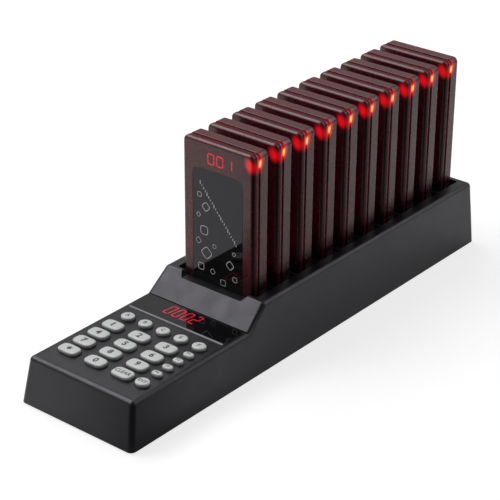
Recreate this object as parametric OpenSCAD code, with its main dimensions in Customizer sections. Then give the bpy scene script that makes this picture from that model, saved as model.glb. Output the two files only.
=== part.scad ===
// Guest pager system: a keypad transmitter and charging base with a row of
// guest pagers standing in it. Millimetres. X runs across the base, Y from the
// keypad end to the back, Z up. The origin is on the table, under the middle
// of the base. Places along the base are measured from its front lower edge
// and moved onto the origin by from_front().

/* [Base shell] */
// Wall thickness of the moulded top housing
wall = 2.5; // [2:0.1:3]
// Height of the keypad surface above the table
keypad_z = 30.3; // [29:0.1:34]
// Height of the rear deck above the table
deck_z = 44; // [41:0.5:47]
// Lean of the long side walls, in degrees from upright
side_draft = 6.2; // [4:0.2:9]
// Lean of the front wall, in degrees from upright
front_draft = 10.7; // [6:0.1:13]
// Lean of the back wall, in degrees from upright
back_draft = 0.5; // [0:0.1:2]
// Radius of the four upright corners at the table
corner_r = 3.5; // [3:0.1:5]
// Radius of the moulded top edges
edge_r = 3; // [1.5:0.1:3.4]
// Length of the keypad deck, up to the foot of the slanted face
keypad_l = 106.8; // [105:0.1:116]
// Run of the slanted face, front to back
slant_run = 15.6; // [14:0.1:20]
// Width of the groove along the foot of the slanted face
foot_groove_w = 0.9; // [0.5:0.1:1.2]
// Depth of the groove along the foot of the slanted face
foot_groove_depth = 0.6; // [0.4:0.1:1]
// Thickness of the rear deck
deck_t = 3; // [2.8:0.1:4]
// Thickness of the wall under the keypad overlay
keypad_wall_t = 2.2; // [1.8:0.1:2.6]
// Diameter of the screw bosses for the bottom cover
boss_d = 6.4; // [5.6:0.1:7]

/* [Pager well] */
// Distance from one pager to the next
pager_pitch = 22.15; // [21:0.05:25]
// Gap between a pager's side and the side of the well
well_side = 4.4; // [3.5:0.1:8]
// Width of the deck rim beside the well
rim_w = 7.9; // [5:0.1:9]
// Deck between the top of the slanted face and the well
well_front = 2.4; // [1:0.1:4]
// Gap between the front of the well and the first pager
first_pager_gap = 1; // [0.8:0.1:4]
// Gap between the last pager and the back of the well
well_back = 1.8; // [1.5:0.1:4]
// Deck behind the well
back_rim = 5.5; // [4.5:0.1:8]
// Radius of the well's corners
well_r = 1.5; // [1:0.1:4]
// Width of the finger notch in the slanted face, at the deck
notch_w = 52.4; // [46:0.2:56]
// How much the notch narrows on each side, down to its floor
notch_taper = 1.6; // [0.5:0.1:3]
// Radius of the notch's lower corners
notch_r = 2; // [0.5:0.1:2.4]

/* [Charging tray] */
// Thickness of the tray's top plate
tray_plate_t = 2.5; // [2:0.1:3]
// Depth of a pager's pocket below the tray's top
pocket_depth = 12.5; // [10:0.1:14]
// Thickness of a pocket's walls and floor
pocket_wall = 1.6; // [1.2:0.1:2]
// Play between a pager and each side of its pocket
pocket_play = 0.4; // [0.3:0.05:0.8]
// Width of the low divider between two pockets
divider_w = 3; // [2:0.1:4]
// Height of the dividers above the tray
divider_h = 0.8; // [0.4:0.1:1.2]
// How far a divider reaches past the sides of the pagers
divider_over = 1.5; // [0.5:0.1:2.5]
// Diameter of a charging contact stud
stud_d = 3; // [2.4:0.1:3.6]
// Distance between a pocket's two contact studs
contact_pitch = 20; // [16:1:26]
// Thickness of the charging board
charge_board_t = 1.6; // [1.2:0.1:2]
// How much narrower than a pager the charging board is, on each side
charge_board_inset = 3; // [2:0.1:5]

/* [Pager] */
// Width of a pager
pager_w = 54; // [50:0.5:56]
// Height of a pager
pager_h = 105; // [100:0.5:112]
// Thickness of a pager
pager_t = 14.4; // [13:0.1:15]
// Radius of a pager's corners, seen from the front
pager_r = 4; // [3.8:0.1:6]
// Rounding of a pager's front and back edges
pager_edge_r = 1.1; // [0.6:0.1:1.3]
// Thickness of the front shell
front_shell_t = 2.4; // [2.2:0.1:2.8]
// Width of the seam groove between the shells
seam_w = 2.4; // [1.8:0.1:3]
// Depth of the seam groove
seam_depth = 0.8; // [0.4:0.1:1]
// Wall thickness of the shells at the seam
shell_wall = 1.5; // [1.2:0.1:1.8]
// Thickness of the front shell's window
window_t = 1.4; // [1.1:0.1:1.6]
// Width of the label panel
label_w = 38.8; // [34:0.2:40]
// Distance from the pager's top to the label panel
label_drop = 18; // [16:0.1:20]
// Distance from the pager's foot to the label panel
label_foot = 7; // [4:0.5:10]
// Depth of the recess that the label panel lies in
label_t = 0.5; // [0.3:0.05:0.6]
// Radius of the label panel's corners
label_r = 2.5; // [1:0.1:4]
// Thickness of the pager's circuit board
board_t = 1; // [0.8:0.1:1.2]
// Width of the three-digit display
digits_w = 22; // [20:0.5:24]
// Height of the three-digit display
digits_h = 9.6; // [9:0.1:10.5]
// Distance from the pager's top to the display's middle
digits_drop = 10.2; // [9:0.1:11]
// Distance of the display's middle to the right of the pager's middle
digits_shift = 1.8; // [0:0.1:2.5]
// Diameter of the call light
light_d = 3.6; // [3:0.1:4]
// Width of the battery
battery_w = 38; // [30:0.5:40]
// Height of the battery
battery_h = 42; // [34:0.5:46]
// Thickness of the battery
battery_t = 5.8; // [4:0.1:6]
// Diameter of the vibration motor
motor_d = 10; // [8:0.2:11]
// Thickness of the vibration motor
motor_t = 3.4; // [2.7:0.1:4]
// Width of a contact pad under the pager
pad_w = 5; // [4:0.1:6]
// Depth of a contact pad under the pager, front to back
pad_l = 4; // [3.6:0.1:5]

/* [Keys] */
// Height of a key above the keypad surface
key_proud = 2.6; // [1.5:0.1:3]
// Travel of a key
key_travel = 1.2; // [0.8:0.1:1.4]
// Play between a key and its hole
key_play = 0.25; // [0.15:0.05:0.4]
// Thickness of the flange that holds a key in
key_flange_t = 1.4; // [1:0.1:1.8]
// Width of the flange around a key
key_flange = 0.7; // [0.5:0.1:0.8]
// Width of a number key
wide_key_w = 13.8; // [12.5:0.1:16]
// Gap between two rows of number keys
row_gap = 3.3; // [2.6:0.1:4]
// Width of a letter key
letter_key_w = 9; // [8:0.1:10]
// Length of a letter key, front to back
letter_key_l = 8.2; // [7:0.1:8.8]
// Width of a function key
function_key_w = 6.8; // [6:0.1:8]
// Gap between two function keys
function_gap = 4.3; // [3.4:0.1:4.8]
// Distance from the base's front to the middle of the front row of keys
front_row_y = 23.9; // [22.5:0.1:25]
// Distance from the middle of the letter keys to the display lens
letter_lens_gap = 11.6; // [11:0.1:14]
// How much further apart the letter keys stand than the rows of number keys
letter_row_extra = 1.4; // [0.5:0.1:2]
// Distance between the letter keys and the last function key
letter_function_gap = 11.2; // [10:0.1:12]
// Space at the left of the number keys
number_margin = 4.9; // [3:0.1:5.5]
// Space at the right of the enter key
enter_margin = 2.2; // [1:0.1:3]
// Distance between the last number column and the function keys
function_column_step = 14.9; // [14.2:0.1:16]
// Space at the left of the letter keys
letter_margin_left = 6.6; // [4.5:0.1:8]
// Space at the right of the letter keys
letter_margin_right = 3.9; // [2.5:0.1:5]

/* [Overlay and display] */
// Thickness of the keypad overlay
overlay_t = 0.8; // [0.5:0.1:1]
// Length of the display lens, front to back
lens_l = 18.7; // [17.5:0.1:20]
// Deck between the display lens and the slanted face
lens_back = 2.2; // [1.6:0.1:3]
// Thickness of the display lens
lens_t = 2.2; // [1.8:0.1:2.5]
// Height of the lens above the keypad surface
lens_proud = 0.9; // [0.3:0.1:1.2]
// Width of the bevel around the lens
lens_bevel = 0.9; // [0.2:0.1:1.1]
// Width of the four-digit display
display_w = 30.4; // [28:0.2:34]
// Length of the four-digit display, front to back
display_l = 13; // [12:0.2:14]
// Distance of the display's middle to the left of the base's middle
display_shift = 3.3; // [0:0.1:6]
// Distance from the lens's front edge to the display's middle
display_inset = 11.4; // [9.5:0.1:11.8]

/* [Boards] */
// Thickness of the main board
main_board_t = 1.6; // [1.2:0.1:2]
// Thickness of the dome sheet between the domes
dome_sheet_t = 0.6; // [0.4:0.1:0.8]
// Height of a dome above its sheet
dome_h = 1.1; // [0.9:0.1:1.2]
// Diameter of a dome
dome_d = 4.8; // [4:0.1:5]
// Gap between the main board and the side walls
main_board_gap = 2.1; // [1.5:0.1:3]
// Width of the radio module
radio_w = 22; // [18:0.5:26]
// Length of the radio module, front to back
radio_l = 16; // [12:0.5:20]
// Height of the radio module
radio_t = 3.2; // [2.5:0.1:4]
// Diameter of the coiled antenna's sleeve
antenna_d = 5; // [4:0.1:6]
// Length of the coiled antenna's sleeve
antenna_l = 24; // [18:0.5:30]
// Width of the cable that links the boards
link_w = 14; // [10:0.5:18]
// Thickness of the link cable
link_t = 0.8; // [0.6:0.1:1.2]
// Height of the link cable's plugs
plug_h = 3; // [2.5:0.1:4]
// Width of the power inlet's body
jack_w = 9; // [8.5:0.1:10]
// Height of the power inlet's body
jack_h = 11; // [10:0.1:12]
// Length of the power inlet's body
jack_l = 11.5; // [10:0.1:13]
// Diameter of the power inlet's round nose
jack_nose_d = 8; // [7.6:0.1:8.4]
// Diameter of the hole that takes a plug
jack_bore_d = 5.6; // [5.5:0.05:5.8]
// Depth of the hole that takes a plug
jack_bore_l = 9.5; // [9:0.1:10]
// Diameter of the power inlet's centre pin
jack_pin_d = 2; // [1.9:0.05:2.2]

/* [Underside] */
// Thickness of the bottom cover
cover_t = 2; // [1.6:0.1:2.4]
// Height of the housing's lower edge above the table
foot_proud = 1; // [0.8:0.1:1.5]
// How far the bottom cover lies above the housing's lower edge
cover_inset = 0.2; // [0.1:0.05:0.5]
// Depth that a foot is let into the cover
foot_sunk = 0.6; // [0.4:0.1:0.8]
// Diameter of a rubber foot
foot_d = 12; // [10:0.5:14]
// Diameter of a cover screw's shank
screw_d = 2.8; // [2.6:0.1:3]
// Diameter of a cover screw's head
screw_head_d = 5.6; // [5.2:0.1:5.8]
// Length of a cover screw
screw_l = 11; // [9:0.5:14]
// Diameter of the small screws in the boards and pagers
small_screw_d = 2; // [1.8:0.1:2.2]
// Diameter of the small screws' heads
small_head_d = 3.6; // [3.2:0.1:3.8]
// Diameter of the posts that hold the charging board up
post_d = 6; // [5:0.1:7]

/* [Fits] */
// Clearance between pieces that are seated on each other
seat = 0.05; // [0.02:0.01:0.08]
// Clearance around a piece that drops into a recess
drop_in = 0.12; // [0.05:0.01:0.2]
// Clearance between the charging tray and the housing's walls
tray_play = 0.4; // [0.3:0.05:0.6]

/* [Hidden] */

$fn = 48;
HULL_FN = 32;
OVAL_STEPS = 28;
WIDE_KEY_POWER = 3.6;
LETTER_KEY_POWER = 2;
FUNCTION_KEY_POWER = 2.7;
PAGER_COUNT = 10;
EPS = 0.01;
BIG = 500;

charcoal = "#39383c";
slate = "#4a4a4e";
key_grey = "#c3c6c4";
smoked_red = "#5a2a30";
gloss_black = "#121214";
board_green = "#1f5c3a";

// Heights
housing_z = foot_proud;
tray_top_z = deck_z - deck_t;
pager_z = tray_top_z - pocket_depth;
pager_top_z = pager_z + pager_h;
overlay_z = keypad_z - overlay_t;
keypad_under_z = overlay_z - keypad_wall_t;
lens_z = keypad_z + lens_proud - lens_t;
key_z = keypad_under_z - key_flange_t - seat;
dome_top_z = key_z - key_travel - seat;
main_board_top_z = dome_top_z - dome_h - dome_sheet_t;
main_board_z = main_board_top_z - main_board_t;
charge_board_z = pager_z - pocket_wall - seat - charge_board_t;
charge_board_w = pager_w - 2 * charge_board_inset;
cover_z = foot_proud + cover_inset;
cover_top_z = cover_z + cover_t;

// Places along the base, from its front lower edge
slant_top_y = keypad_l + slant_run;
well_y = slant_top_y + well_front;
pager_y = well_y + first_pager_gap;
last_pager_y = pager_y + (PAGER_COUNT - 1) * pager_pitch;
well_back_y = last_pager_y + pager_t + well_back;
back_top_y = well_back_y + back_rim;
base_l = back_top_y + (deck_z - housing_z) * tan(back_draft);
lens_y = keypad_l - lens_back - lens_l;

// Half widths
well_half = pager_w / 2 + well_side;
deck_half = well_half + rim_w;
base_half = deck_half + (deck_z - housing_z) * tan(side_draft);

slant_rise = deck_z - keypad_z;
slant_angle = atan(slant_rise / slant_run);
slant_wall_run = wall / sin(slant_angle);

function half_at(z) = base_half - (z - housing_z) * tan(side_draft);
function front_at(z) = (z - housing_z) * tan(front_draft);
function back_at(z) = base_l - (z - housing_z) * tan(back_draft);
function slant_at(z) = keypad_l + (z - keypad_z) * slant_run / slant_rise;

plate_half = half_at(keypad_z) - edge_r;
plate_y = front_at(keypad_z) + edge_r;

// Rows of keys, between the base's front and the display lens
letter_y = lens_y - letter_lens_gap;
row_pitch = (letter_y - letter_row_extra - front_row_y) / 4;
function_y0 = front_row_y + row_pitch;
function_pitch = (letter_y - letter_function_gap - function_y0) / 3;
wide_key_l = row_pitch - row_gap;
function_key_l = function_pitch - function_gap;

// Keys: name, middle x, middle y, half width, half length, power of the outline
number_x0 = -plate_half + number_margin + wide_key_w / 2;
function_x = plate_half - enter_margin - letter_key_w / 2;
column_pitch = (function_x - function_column_step - number_x0) / 2;
letter_x0 = -plate_half + letter_margin_left + letter_key_w / 2;
letter_x1 = plate_half - letter_margin_right - letter_key_w / 2;
letter_pitch = (letter_x1 - letter_x0) / 4;
NUMBER_KEYS = [
    ["key_star", "key_0", "key_clear"],
    ["key_7", "key_8", "key_9"],
    ["key_4", "key_5", "key_6"],
    ["key_1", "key_2", "key_3"]
];
FUNCTION_KEYS = ["key_f4", "key_f3", "key_f2", "key_f1"];
LETTER_KEYS = ["key_a", "key_b", "key_c", "key_e", "key_f"];
KEYS = concat(
    [for (row = [0:3], column = [0:2])
        [NUMBER_KEYS[row][column], number_x0 + column * column_pitch,
         front_row_y + row * row_pitch, wide_key_w / 2, wide_key_l / 2, WIDE_KEY_POWER]],
    [for (i = [0:3])
        [FUNCTION_KEYS[i], function_x, function_y0 + i * function_pitch,
         function_key_w / 2, function_key_l / 2, FUNCTION_KEY_POWER]],
    [for (i = [0:4])
        [LETTER_KEYS[i], letter_x0 + i * letter_pitch, letter_y,
         letter_key_w / 2, letter_key_l / 2, LETTER_KEY_POWER]],
    [["key_enter", function_x, front_row_y, letter_key_w / 2, letter_key_l / 2, LETTER_KEY_POWER]]
);

// Screw bosses, board posts, feet and cover posts, as [x, y]
boss_x = half_at(keypad_under_z) - wall - boss_d / 2 + 1;
boss_front_y = front_at(keypad_under_z) + wall + boss_d / 2 - 1;
boss_back_y = base_l - wall - boss_d / 2 - 2.5;
BOSSES = [for (x = [-boss_x, boss_x], y = [boss_front_y, (boss_front_y + boss_back_y) / 2, boss_back_y])
    [x, y]];
board_post_d = small_screw_d + 3.4;
board_post_y0 = front_row_y - wide_key_l / 2 - key_flange - board_post_d / 2 - 0.5;
board_post_y1 = letter_y + letter_key_l / 2 + key_flange + board_post_d / 2 + 1.2;
board_post_x = boss_x - boss_d / 2 - board_post_d / 2 - 1;
BOARD_POSTS = [for (x = [-board_post_x, board_post_x], y = [board_post_y0, board_post_y1]) [x, y]];
main_board_w = 2 * (half_at(keypad_under_z) - wall / cos(side_draft) - main_board_gap);
main_board_y0 = board_post_y0 - board_post_d / 2;
main_board_y1 = keypad_l - 1.5;
foot_x = boss_x - boss_d / 2 - foot_d / 2 - 1;
foot_y0 = boss_front_y + foot_d / 2 + 3;
FEET = [for (x = [-foot_x, foot_x], y = [foot_y0, base_l / 2, base_l - foot_y0]) [x, y]];
cover_half = half_at(cover_top_z) - wall / cos(side_draft) - drop_in;
cover_y0 = front_at(cover_top_z) + wall / cos(front_draft) + drop_in;
cover_y1 = back_at(cover_top_z) - wall - drop_in;

// Charging board and what stands on it
charge_board_y0 = pager_y;
charge_board_y1 = last_pager_y + pager_t;
post_x = charge_board_w / 2 - post_d / 2 - 2;
POSTS = [for (x = [-post_x, post_x], y = [charge_board_y0 + post_d,
    (charge_board_y0 + charge_board_y1) / 2, charge_board_y1 - post_d]) [x, y]];
jack_front_y = back_at(charge_board_z) - wall - seat;
jack_y = jack_front_y - jack_l;
jack_bore_z = charge_board_z - seat - jack_h + jack_bore_d / 2 + 2;
jack_nose_y = back_at(jack_bore_z) - 0.3;

// Pager, measured from its front lower middle
cavity_y0 = window_t;
cavity_y1 = pager_t - shell_wall;
cavity_inset = seam_depth + shell_wall;
body_y0 = front_shell_t + seam_w;
board_y0 = front_shell_t + 2;
board_y1 = board_y0 + board_t;
board_inset = cavity_inset + 1.2;
digits_z = pager_h - digits_drop;
label_top_z = pager_h - label_drop;
label_h = label_top_z - label_foot;
pad_y0 = board_y1 + seat;
contact_y = pad_y0 + pad_l / 2;
pager_post_d = small_screw_d + 2.4;
pager_post_x = pager_w / 2 - cavity_inset - pager_post_d / 2 - 3.5;
PAGER_POSTS = [for (x = [-pager_post_x, pager_post_x], z = [12, digits_z - 6]) [x, z]];
light_x = pager_w / 2 - cavity_inset - light_d / 2 - 1.4;
light_z = pager_h - cavity_inset - light_d / 2 - 1.4;
battery_z = 19;
motor_z = battery_z + battery_h + motor_d / 2 + 4;

module from_front() {
    translate([0, -base_l / 2, 0]) children();
}

// Rounded rectangle around the origin, of true arcs and straight sides
module rounded_rectangle(w, l, r) {
    union() {
        square([w - 2 * r, l], center = true);
        square([w, l - 2 * r], center = true);
        for (x = [-1, 1], y = [-1, 1]) translate([x * (w / 2 - r), y * (l / 2 - r)]) circle(r);
    }
}

// Key outline, between an ellipse and a rectangle
function oval_part(c, power) = sign(c) * pow(abs(c), 2 / power);
module oval(a, b, power) {
    polygon([for (i = [0:OVAL_STEPS - 1])
        let (t = 360 * i / OVAL_STEPS)
        [a * oval_part(cos(t), power), b * oval_part(sin(t), power)]]);
}

// ---- Top housing ----

module dome_corner(r) {
    rotate_extrude($fn = HULL_FN) intersection() {
        circle(r, $fn = HULL_FN);
        square(r);
    }
}

// A drafted block with rounded upright corners and rounded top edges
module drafted_block(top_z, y_low, y_high) {
    z = top_z - edge_r;
    hull() for (s = [-1, 1]) {
        translate([s * (half_at(housing_z) - corner_r), y_low + corner_r, housing_z])
            cylinder(r = corner_r, h = EPS, $fn = HULL_FN);
        translate([s * (half_at(housing_z) - corner_r), base_l - corner_r, housing_z])
            cylinder(r = corner_r, h = EPS, $fn = HULL_FN);
        translate([s * (half_at(z) - edge_r), y_high + edge_r, z]) dome_corner(edge_r);
        translate([s * (half_at(z) - edge_r), back_at(z) - edge_r, z]) dome_corner(edge_r);
    }
}

module housing_outside() {
    slant_low_y = slant_at(housing_z);
    z_edge = keypad_z - edge_r;
    deck_edge = deck_z - edge_r;
    // The slanted face is tangent to the rounding of its upper edge
    slant_edge_y = slant_at(deck_edge) + edge_r / sin(slant_angle) - edge_r;
    drafted_block(keypad_z, 0, front_at(z_edge));
    drafted_block(deck_z, slant_low_y, slant_edge_y);
}

// The space inside the housing: a drafted block, cut to the line of the two decks
module housing_cavity() {
    r = corner_r - wall + 0.5;
    low_z = housing_z - 1;
    over_z = tray_top_z + 1;
    intersection() {
        hull() for (s = [-1, 1], z = [low_z, tray_top_z]) {
            x = s * (half_at(z) - wall / cos(side_draft) - r);
            translate([x, front_at(z) + wall + r, z - EPS]) cylinder(r = r, h = EPS, $fn = HULL_FN);
            translate([x, back_at(z) - wall - r, z - EPS]) cylinder(r = r, h = EPS, $fn = HULL_FN);
        }
        rotate([90, 0, 90]) linear_extrude(BIG, center = true) polygon([
            [0, low_z - 1], [0, keypad_under_z],
            [slant_at(keypad_under_z) + slant_wall_run, keypad_under_z],
            [slant_at(over_z) + slant_wall_run, over_z],
            [base_l, over_z], [base_l, low_z - 1]
        ]);
    }
}

module bosses() {
    for (p = BOSSES) translate([p[0], p[1], cover_top_z + seat]) {
        cylinder(d = boss_d, h = keypad_under_z - cover_top_z);
        translate([p[0] > 0 ? 0 : -boss_d, -wall / 2, 0]) cube([boss_d, wall, keypad_under_z - cover_top_z]);
    }
    for (p = BOARD_POSTS) translate([p[0], p[1], main_board_top_z + seat])
        cylinder(d = board_post_d, h = keypad_under_z - main_board_top_z);
}

module key_holes(bottom_z) {
    for (k = KEYS) translate([k[1], k[2], bottom_z])
        linear_extrude(BIG) oval(k[3] + key_play, k[4] + key_play, k[5]);
}

module notch() {
    y0 = slant_at(tray_top_z) - 2;
    translate([0, y0, 0]) rotate([90, 0, 0]) mirror([0, 0, 1])
        linear_extrude(well_y + well_r - y0) translate([0, tray_top_z]) hull() for (s = [-1, 1]) {
            translate([s * (notch_w / 2 - notch_taper - notch_r), notch_r]) circle(notch_r);
            translate([s * notch_w / 2, deck_t]) square(EPS, center = true);
            translate([s * notch_w / 2, deck_z]) square(EPS, center = true);
        }
}

// The groove undercuts the foot of the slanted face a little
module foot_groove() {
    undercut = 0.2;
    translate([-BIG / 2, keypad_l + undercut - foot_groove_w, keypad_z - foot_groove_depth])
        cube([BIG, foot_groove_w, foot_groove_depth + undercut]);
}

module well() {
    translate([0, (well_y + well_back_y) / 2, tray_top_z - 1])
        linear_extrude(BIG) rounded_rectangle(2 * well_half, well_back_y - well_y, well_r);
}

module housing_recesses() {
    plate_l = lens_y - plate_y;
    translate([-plate_half, plate_y, overlay_z]) cube([2 * plate_half, plate_l + EPS, BIG]);
    translate([-plate_half, lens_y, lens_z]) cube([2 * plate_half, lens_l, keypad_z - lens_z + EPS]);
    translate([-display_shift - display_w / 2 - drop_in, lens_y + display_inset - display_l / 2 - drop_in, 0])
        cube([display_w + 2 * drop_in, display_l + 2 * drop_in, keypad_z]);
}

module top_housing() {
    color(charcoal) from_front() difference() {
        housing_outside();
        difference() {
            housing_cavity();
            bosses();
        }
        difference() {
            housing_recesses();
            translate([-BIG / 2, lens_y + lens_l, 0]) cube(BIG);
        }
        key_holes(keypad_under_z - 1);
        well();
        notch();
        foot_groove();
        for (p = BOSSES) translate([p[0], p[1], 0]) cylinder(d = screw_d + 2 * seat, h = cover_z + screw_l + 1);
        for (p = BOARD_POSTS) translate([p[0], p[1], 0])
            cylinder(d = small_screw_d + 2 * seat, h = keypad_under_z - 0.5);
        translate([0, back_at(jack_bore_z) + 1, jack_bore_z]) rotate([90, 0, 0])
            cylinder(d = jack_nose_d + 2 * drop_in, h = wall + 3);
    }
}

// ---- Keypad, display and main board ----

module keypad_overlay() {
    color(slate) from_front() difference() {
        translate([-plate_half + drop_in, plate_y + drop_in, overlay_z + seat])
            cube([2 * (plate_half - drop_in), lens_y - plate_y - 2 * drop_in, overlay_t - seat]);
        key_holes(0);
    }
}

module display_lens() {
    w = 2 * (plate_half - drop_in);
    l = lens_l - 2 * drop_in;
    h = lens_t - seat;
    color(gloss_black) from_front() translate([0, lens_y + lens_l / 2, lens_z + seat])
        hull() {
            translate([-w / 2, -l / 2, 0]) cube([w, l, h - lens_bevel]);
            translate([-w / 2 + lens_bevel, -l / 2 + lens_bevel, 0])
                cube([w - 2 * lens_bevel, l - 2 * lens_bevel, h]);
        }
}

module display_module() {
    color("#3a0d10") from_front()
        translate([-display_shift - display_w / 2, lens_y + display_inset - display_l / 2, main_board_top_z + seat])
            cube([display_w, display_l, lens_z - main_board_top_z - 2 * seat]);
}

module main_board() {
    color(board_green) from_front() difference() {
        translate([-main_board_w / 2, main_board_y0, main_board_z])
            cube([main_board_w, main_board_y1 - main_board_y0, main_board_t]);
        for (p = BOARD_POSTS) translate([p[0], p[1], 0]) cylinder(d = small_screw_d + 0.4, h = BIG);
        for (s = [-1, 1]) translate([s * boss_x, boss_front_y, 0]) cylinder(d = boss_d + 1.4, h = BIG);
        for (s = [-1, 1]) translate([s * (boss_x + boss_d), boss_front_y - 1, BIG / 2])
            cube([2 * boss_d, boss_d + 3.4, BIG], center = true);
    }
}

module dome_sheet() {
    y0 = board_post_y0 + board_post_d / 2 + 0.3;
    y1 = board_post_y1 - board_post_d / 2 - 0.3;
    color("#8c8f90") from_front() translate([0, 0, main_board_top_z + seat]) {
        translate([-main_board_w / 2 + 0.5, y0, 0]) cube([main_board_w - 1, y1 - y0, dome_sheet_t]);
        for (k = KEYS) translate([k[1], k[2], 0]) cylinder(d = dome_d, h = dome_sheet_t + dome_h);
    }
}

module radio_module() {
    color("#a9abad") from_front()
        translate([-number_x0 - radio_w / 2, letter_y - radio_l, main_board_z - radio_t - seat])
            cube([radio_w, radio_l, radio_t]);
}

module antenna() {
    color("#26262a") from_front()
        translate([-number_x0 - antenna_l / 2, letter_y - radio_l - antenna_d / 2 - seat,
                   main_board_z - antenna_d / 2 - seat])
            rotate([0, 90, 0]) cylinder(d = antenna_d, h = antenna_l);
}

module link_cable() {
    front_y = main_board_y1 - 8;
    back_y = charge_board_y0 + 2;
    plug_l = 5;
    front_z = main_board_z - seat - plug_h;
    back_z = charge_board_z - seat - plug_h;
    color("#d8d8d4") from_front() translate([-link_w / 2, 0, 0]) {
        translate([0, front_y, front_z]) cube([link_w, plug_l, plug_h]);
        translate([0, back_y, back_z]) cube([link_w, plug_l, plug_h]);
        rotate([90, 0, 90]) linear_extrude(link_w) polygon([
            [front_y, front_z], [front_y + plug_l, front_z], [back_y, back_z], [back_y + plug_l, back_z],
            [back_y + plug_l, back_z - link_t], [back_y, back_z - link_t],
            [front_y + plug_l, front_z - link_t], [front_y, front_z - link_t]
        ]);
    }
}

// ---- Charging ----

module each_pocket() {
    for (i = [0:PAGER_COUNT - 1]) translate([0, pager_y + i * pager_pitch, 0]) children();
}

module charging_tray() {
    half = half_at(tray_top_z) - wall / cos(side_draft) - tray_play;
    y0 = slant_at(tray_top_z) + slant_wall_run + tray_play;
    y1 = back_at(tray_top_z) - wall - tray_play;
    pocket_w = pager_w + 2 * pocket_play;
    pocket_l = pager_t + 2 * pocket_play;
    color("#1c1b1e") from_front() difference() {
        union() {
            translate([-half, y0, tray_top_z - tray_plate_t - seat]) cube([2 * half, y1 - y0, tray_plate_t]);
            each_pocket() translate([-pocket_w / 2 - pocket_wall, -pocket_play - pocket_wall, pager_z - pocket_wall])
                cube([pocket_w + 2 * pocket_wall, pocket_l + 2 * pocket_wall, pocket_depth]);
            for (i = [1:PAGER_COUNT - 1])
                translate([0, pager_y + (i - 0.5) * pager_pitch + pager_t / 2, tray_top_z - tray_plate_t])
                    linear_extrude(tray_plate_t + divider_h)
                        rounded_rectangle(pager_w + 2 * divider_over, divider_w, divider_w / 2 - EPS);
        }
        each_pocket() translate([-pocket_w / 2, -pocket_play, pager_z]) cube([pocket_w, pocket_l, BIG]);
        each_pocket() for (s = [-1, 1]) translate([s * contact_pitch / 2, contact_y, 0])
            cylinder(d = stud_d + 0.4, h = BIG);
    }
}

module charge_board() {
    color(board_green) from_front() translate([-charge_board_w / 2, charge_board_y0, charge_board_z])
        cube([charge_board_w, charge_board_y1 - charge_board_y0, charge_board_t]);
}

module charge_contacts() {
    z = charge_board_z + charge_board_t + seat;
    color("#c9a24a") from_front() each_pocket() for (s = [-1, 1])
        translate([s * contact_pitch / 2, contact_y, z]) cylinder(d = stud_d, h = pager_z - seat - z);
}

module dc_jack() {
    z1 = charge_board_z - seat;
    color("#202024") from_front() difference() {
        union() {
            translate([-jack_w / 2, jack_y, z1 - jack_h]) cube([jack_w, jack_l, jack_h]);
            translate([0, jack_nose_y, jack_bore_z]) rotate([90, 0, 0])
                cylinder(d = jack_nose_d, h = jack_nose_y - jack_front_y + 1);
        }
        difference() {
            translate([0, jack_nose_y + 1, jack_bore_z]) rotate([90, 0, 0])
                cylinder(d = jack_bore_d, h = jack_bore_l + 1);
            translate([0, jack_nose_y - 1, jack_bore_z]) rotate([90, 0, 0])
                cylinder(d = jack_pin_d, h = jack_bore_l);
        }
    }
}

// ---- Underside ----

module bottom_cover() {
    l = cover_y1 - cover_y0;
    head_l = (screw_head_d - screw_d) / 2;
    color("#2b2a2d") from_front() difference() {
        union() {
            translate([0, cover_y0 + l / 2, cover_z]) linear_extrude(cover_t)
                rounded_rectangle(2 * cover_half, l, 2);
            for (p = POSTS) translate([p[0], p[1], cover_z])
                cylinder(d = post_d, h = charge_board_z - seat - cover_z);
        }
        for (p = BOSSES) translate([p[0], p[1], cover_z - EPS]) {
            cylinder(d = screw_d + 0.4, h = cover_t + 1);
            cylinder(d1 = screw_head_d + 0.3, d2 = screw_d + 0.3, h = head_l);
        }
        for (p = FEET) translate([p[0], p[1], 0]) cylinder(d = foot_d + 2 * drop_in, h = cover_z + foot_sunk);
    }
}

module rubber_feet() {
    color("#161618") from_front() for (p = FEET) translate([p[0], p[1], 0])
        cylinder(d = foot_d, h = cover_z + foot_sunk - seat);
}

module cover_screws() {
    head_l = (screw_head_d - screw_d) / 2;
    slot_w = 0.7;
    color("#8e9092") from_front() for (p = BOSSES) translate([p[0], p[1], cover_z + seat]) difference() {
        union() {
            cylinder(d = screw_d, h = screw_l);
            cylinder(d1 = screw_head_d, d2 = screw_d, h = head_l);
        }
        for (a = [0, 90]) rotate(a) cube([screw_d, slot_w, 1.4], center = true);
    }
}

module board_screws() {
    head_h = 1.4;
    color("#8e9092") from_front() for (p = BOARD_POSTS) translate([p[0], p[1], main_board_z - seat - head_h]) {
        cylinder(d = small_head_d, h = head_h);
        cylinder(d = small_screw_d, h = head_h + main_board_t + 3.4);
    }
}

// ---- Keys ----

module key_body(k) {
    cap_h = 0.8;
    color(key_grey) from_front() translate([k[1], k[2], key_z]) {
        linear_extrude(key_flange_t) oval(k[3] + key_flange, k[4] + key_flange, k[5]);
        linear_extrude(keypad_z + key_proud - key_z - cap_h) oval(k[3], k[4], k[5]);
        translate([0, 0, keypad_z + key_proud - key_z - cap_h]) hull() {
            linear_extrude(EPS) oval(k[3], k[4], k[5]);
            translate([0, 0, cap_h / 2]) linear_extrude(EPS) oval(k[3] - cap_h / 4, k[4] - cap_h / 4, k[5]);
            translate([0, 0, cap_h - EPS]) linear_extrude(EPS) oval(k[3] - cap_h, k[4] - cap_h, k[5]);
        }
    }
}

module key(name) {
    for (k = KEYS) if (k[0] == name) key_body(k);
}

// ---- Pager ----

module pager_outline(y0, y1, inset) {
    translate([0, y1, pager_h / 2]) rotate([90, 0, 0]) linear_extrude(y1 - y0)
        rounded_rectangle(pager_w - 2 * inset, pager_h - 2 * inset, pager_r - inset);
}

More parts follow.
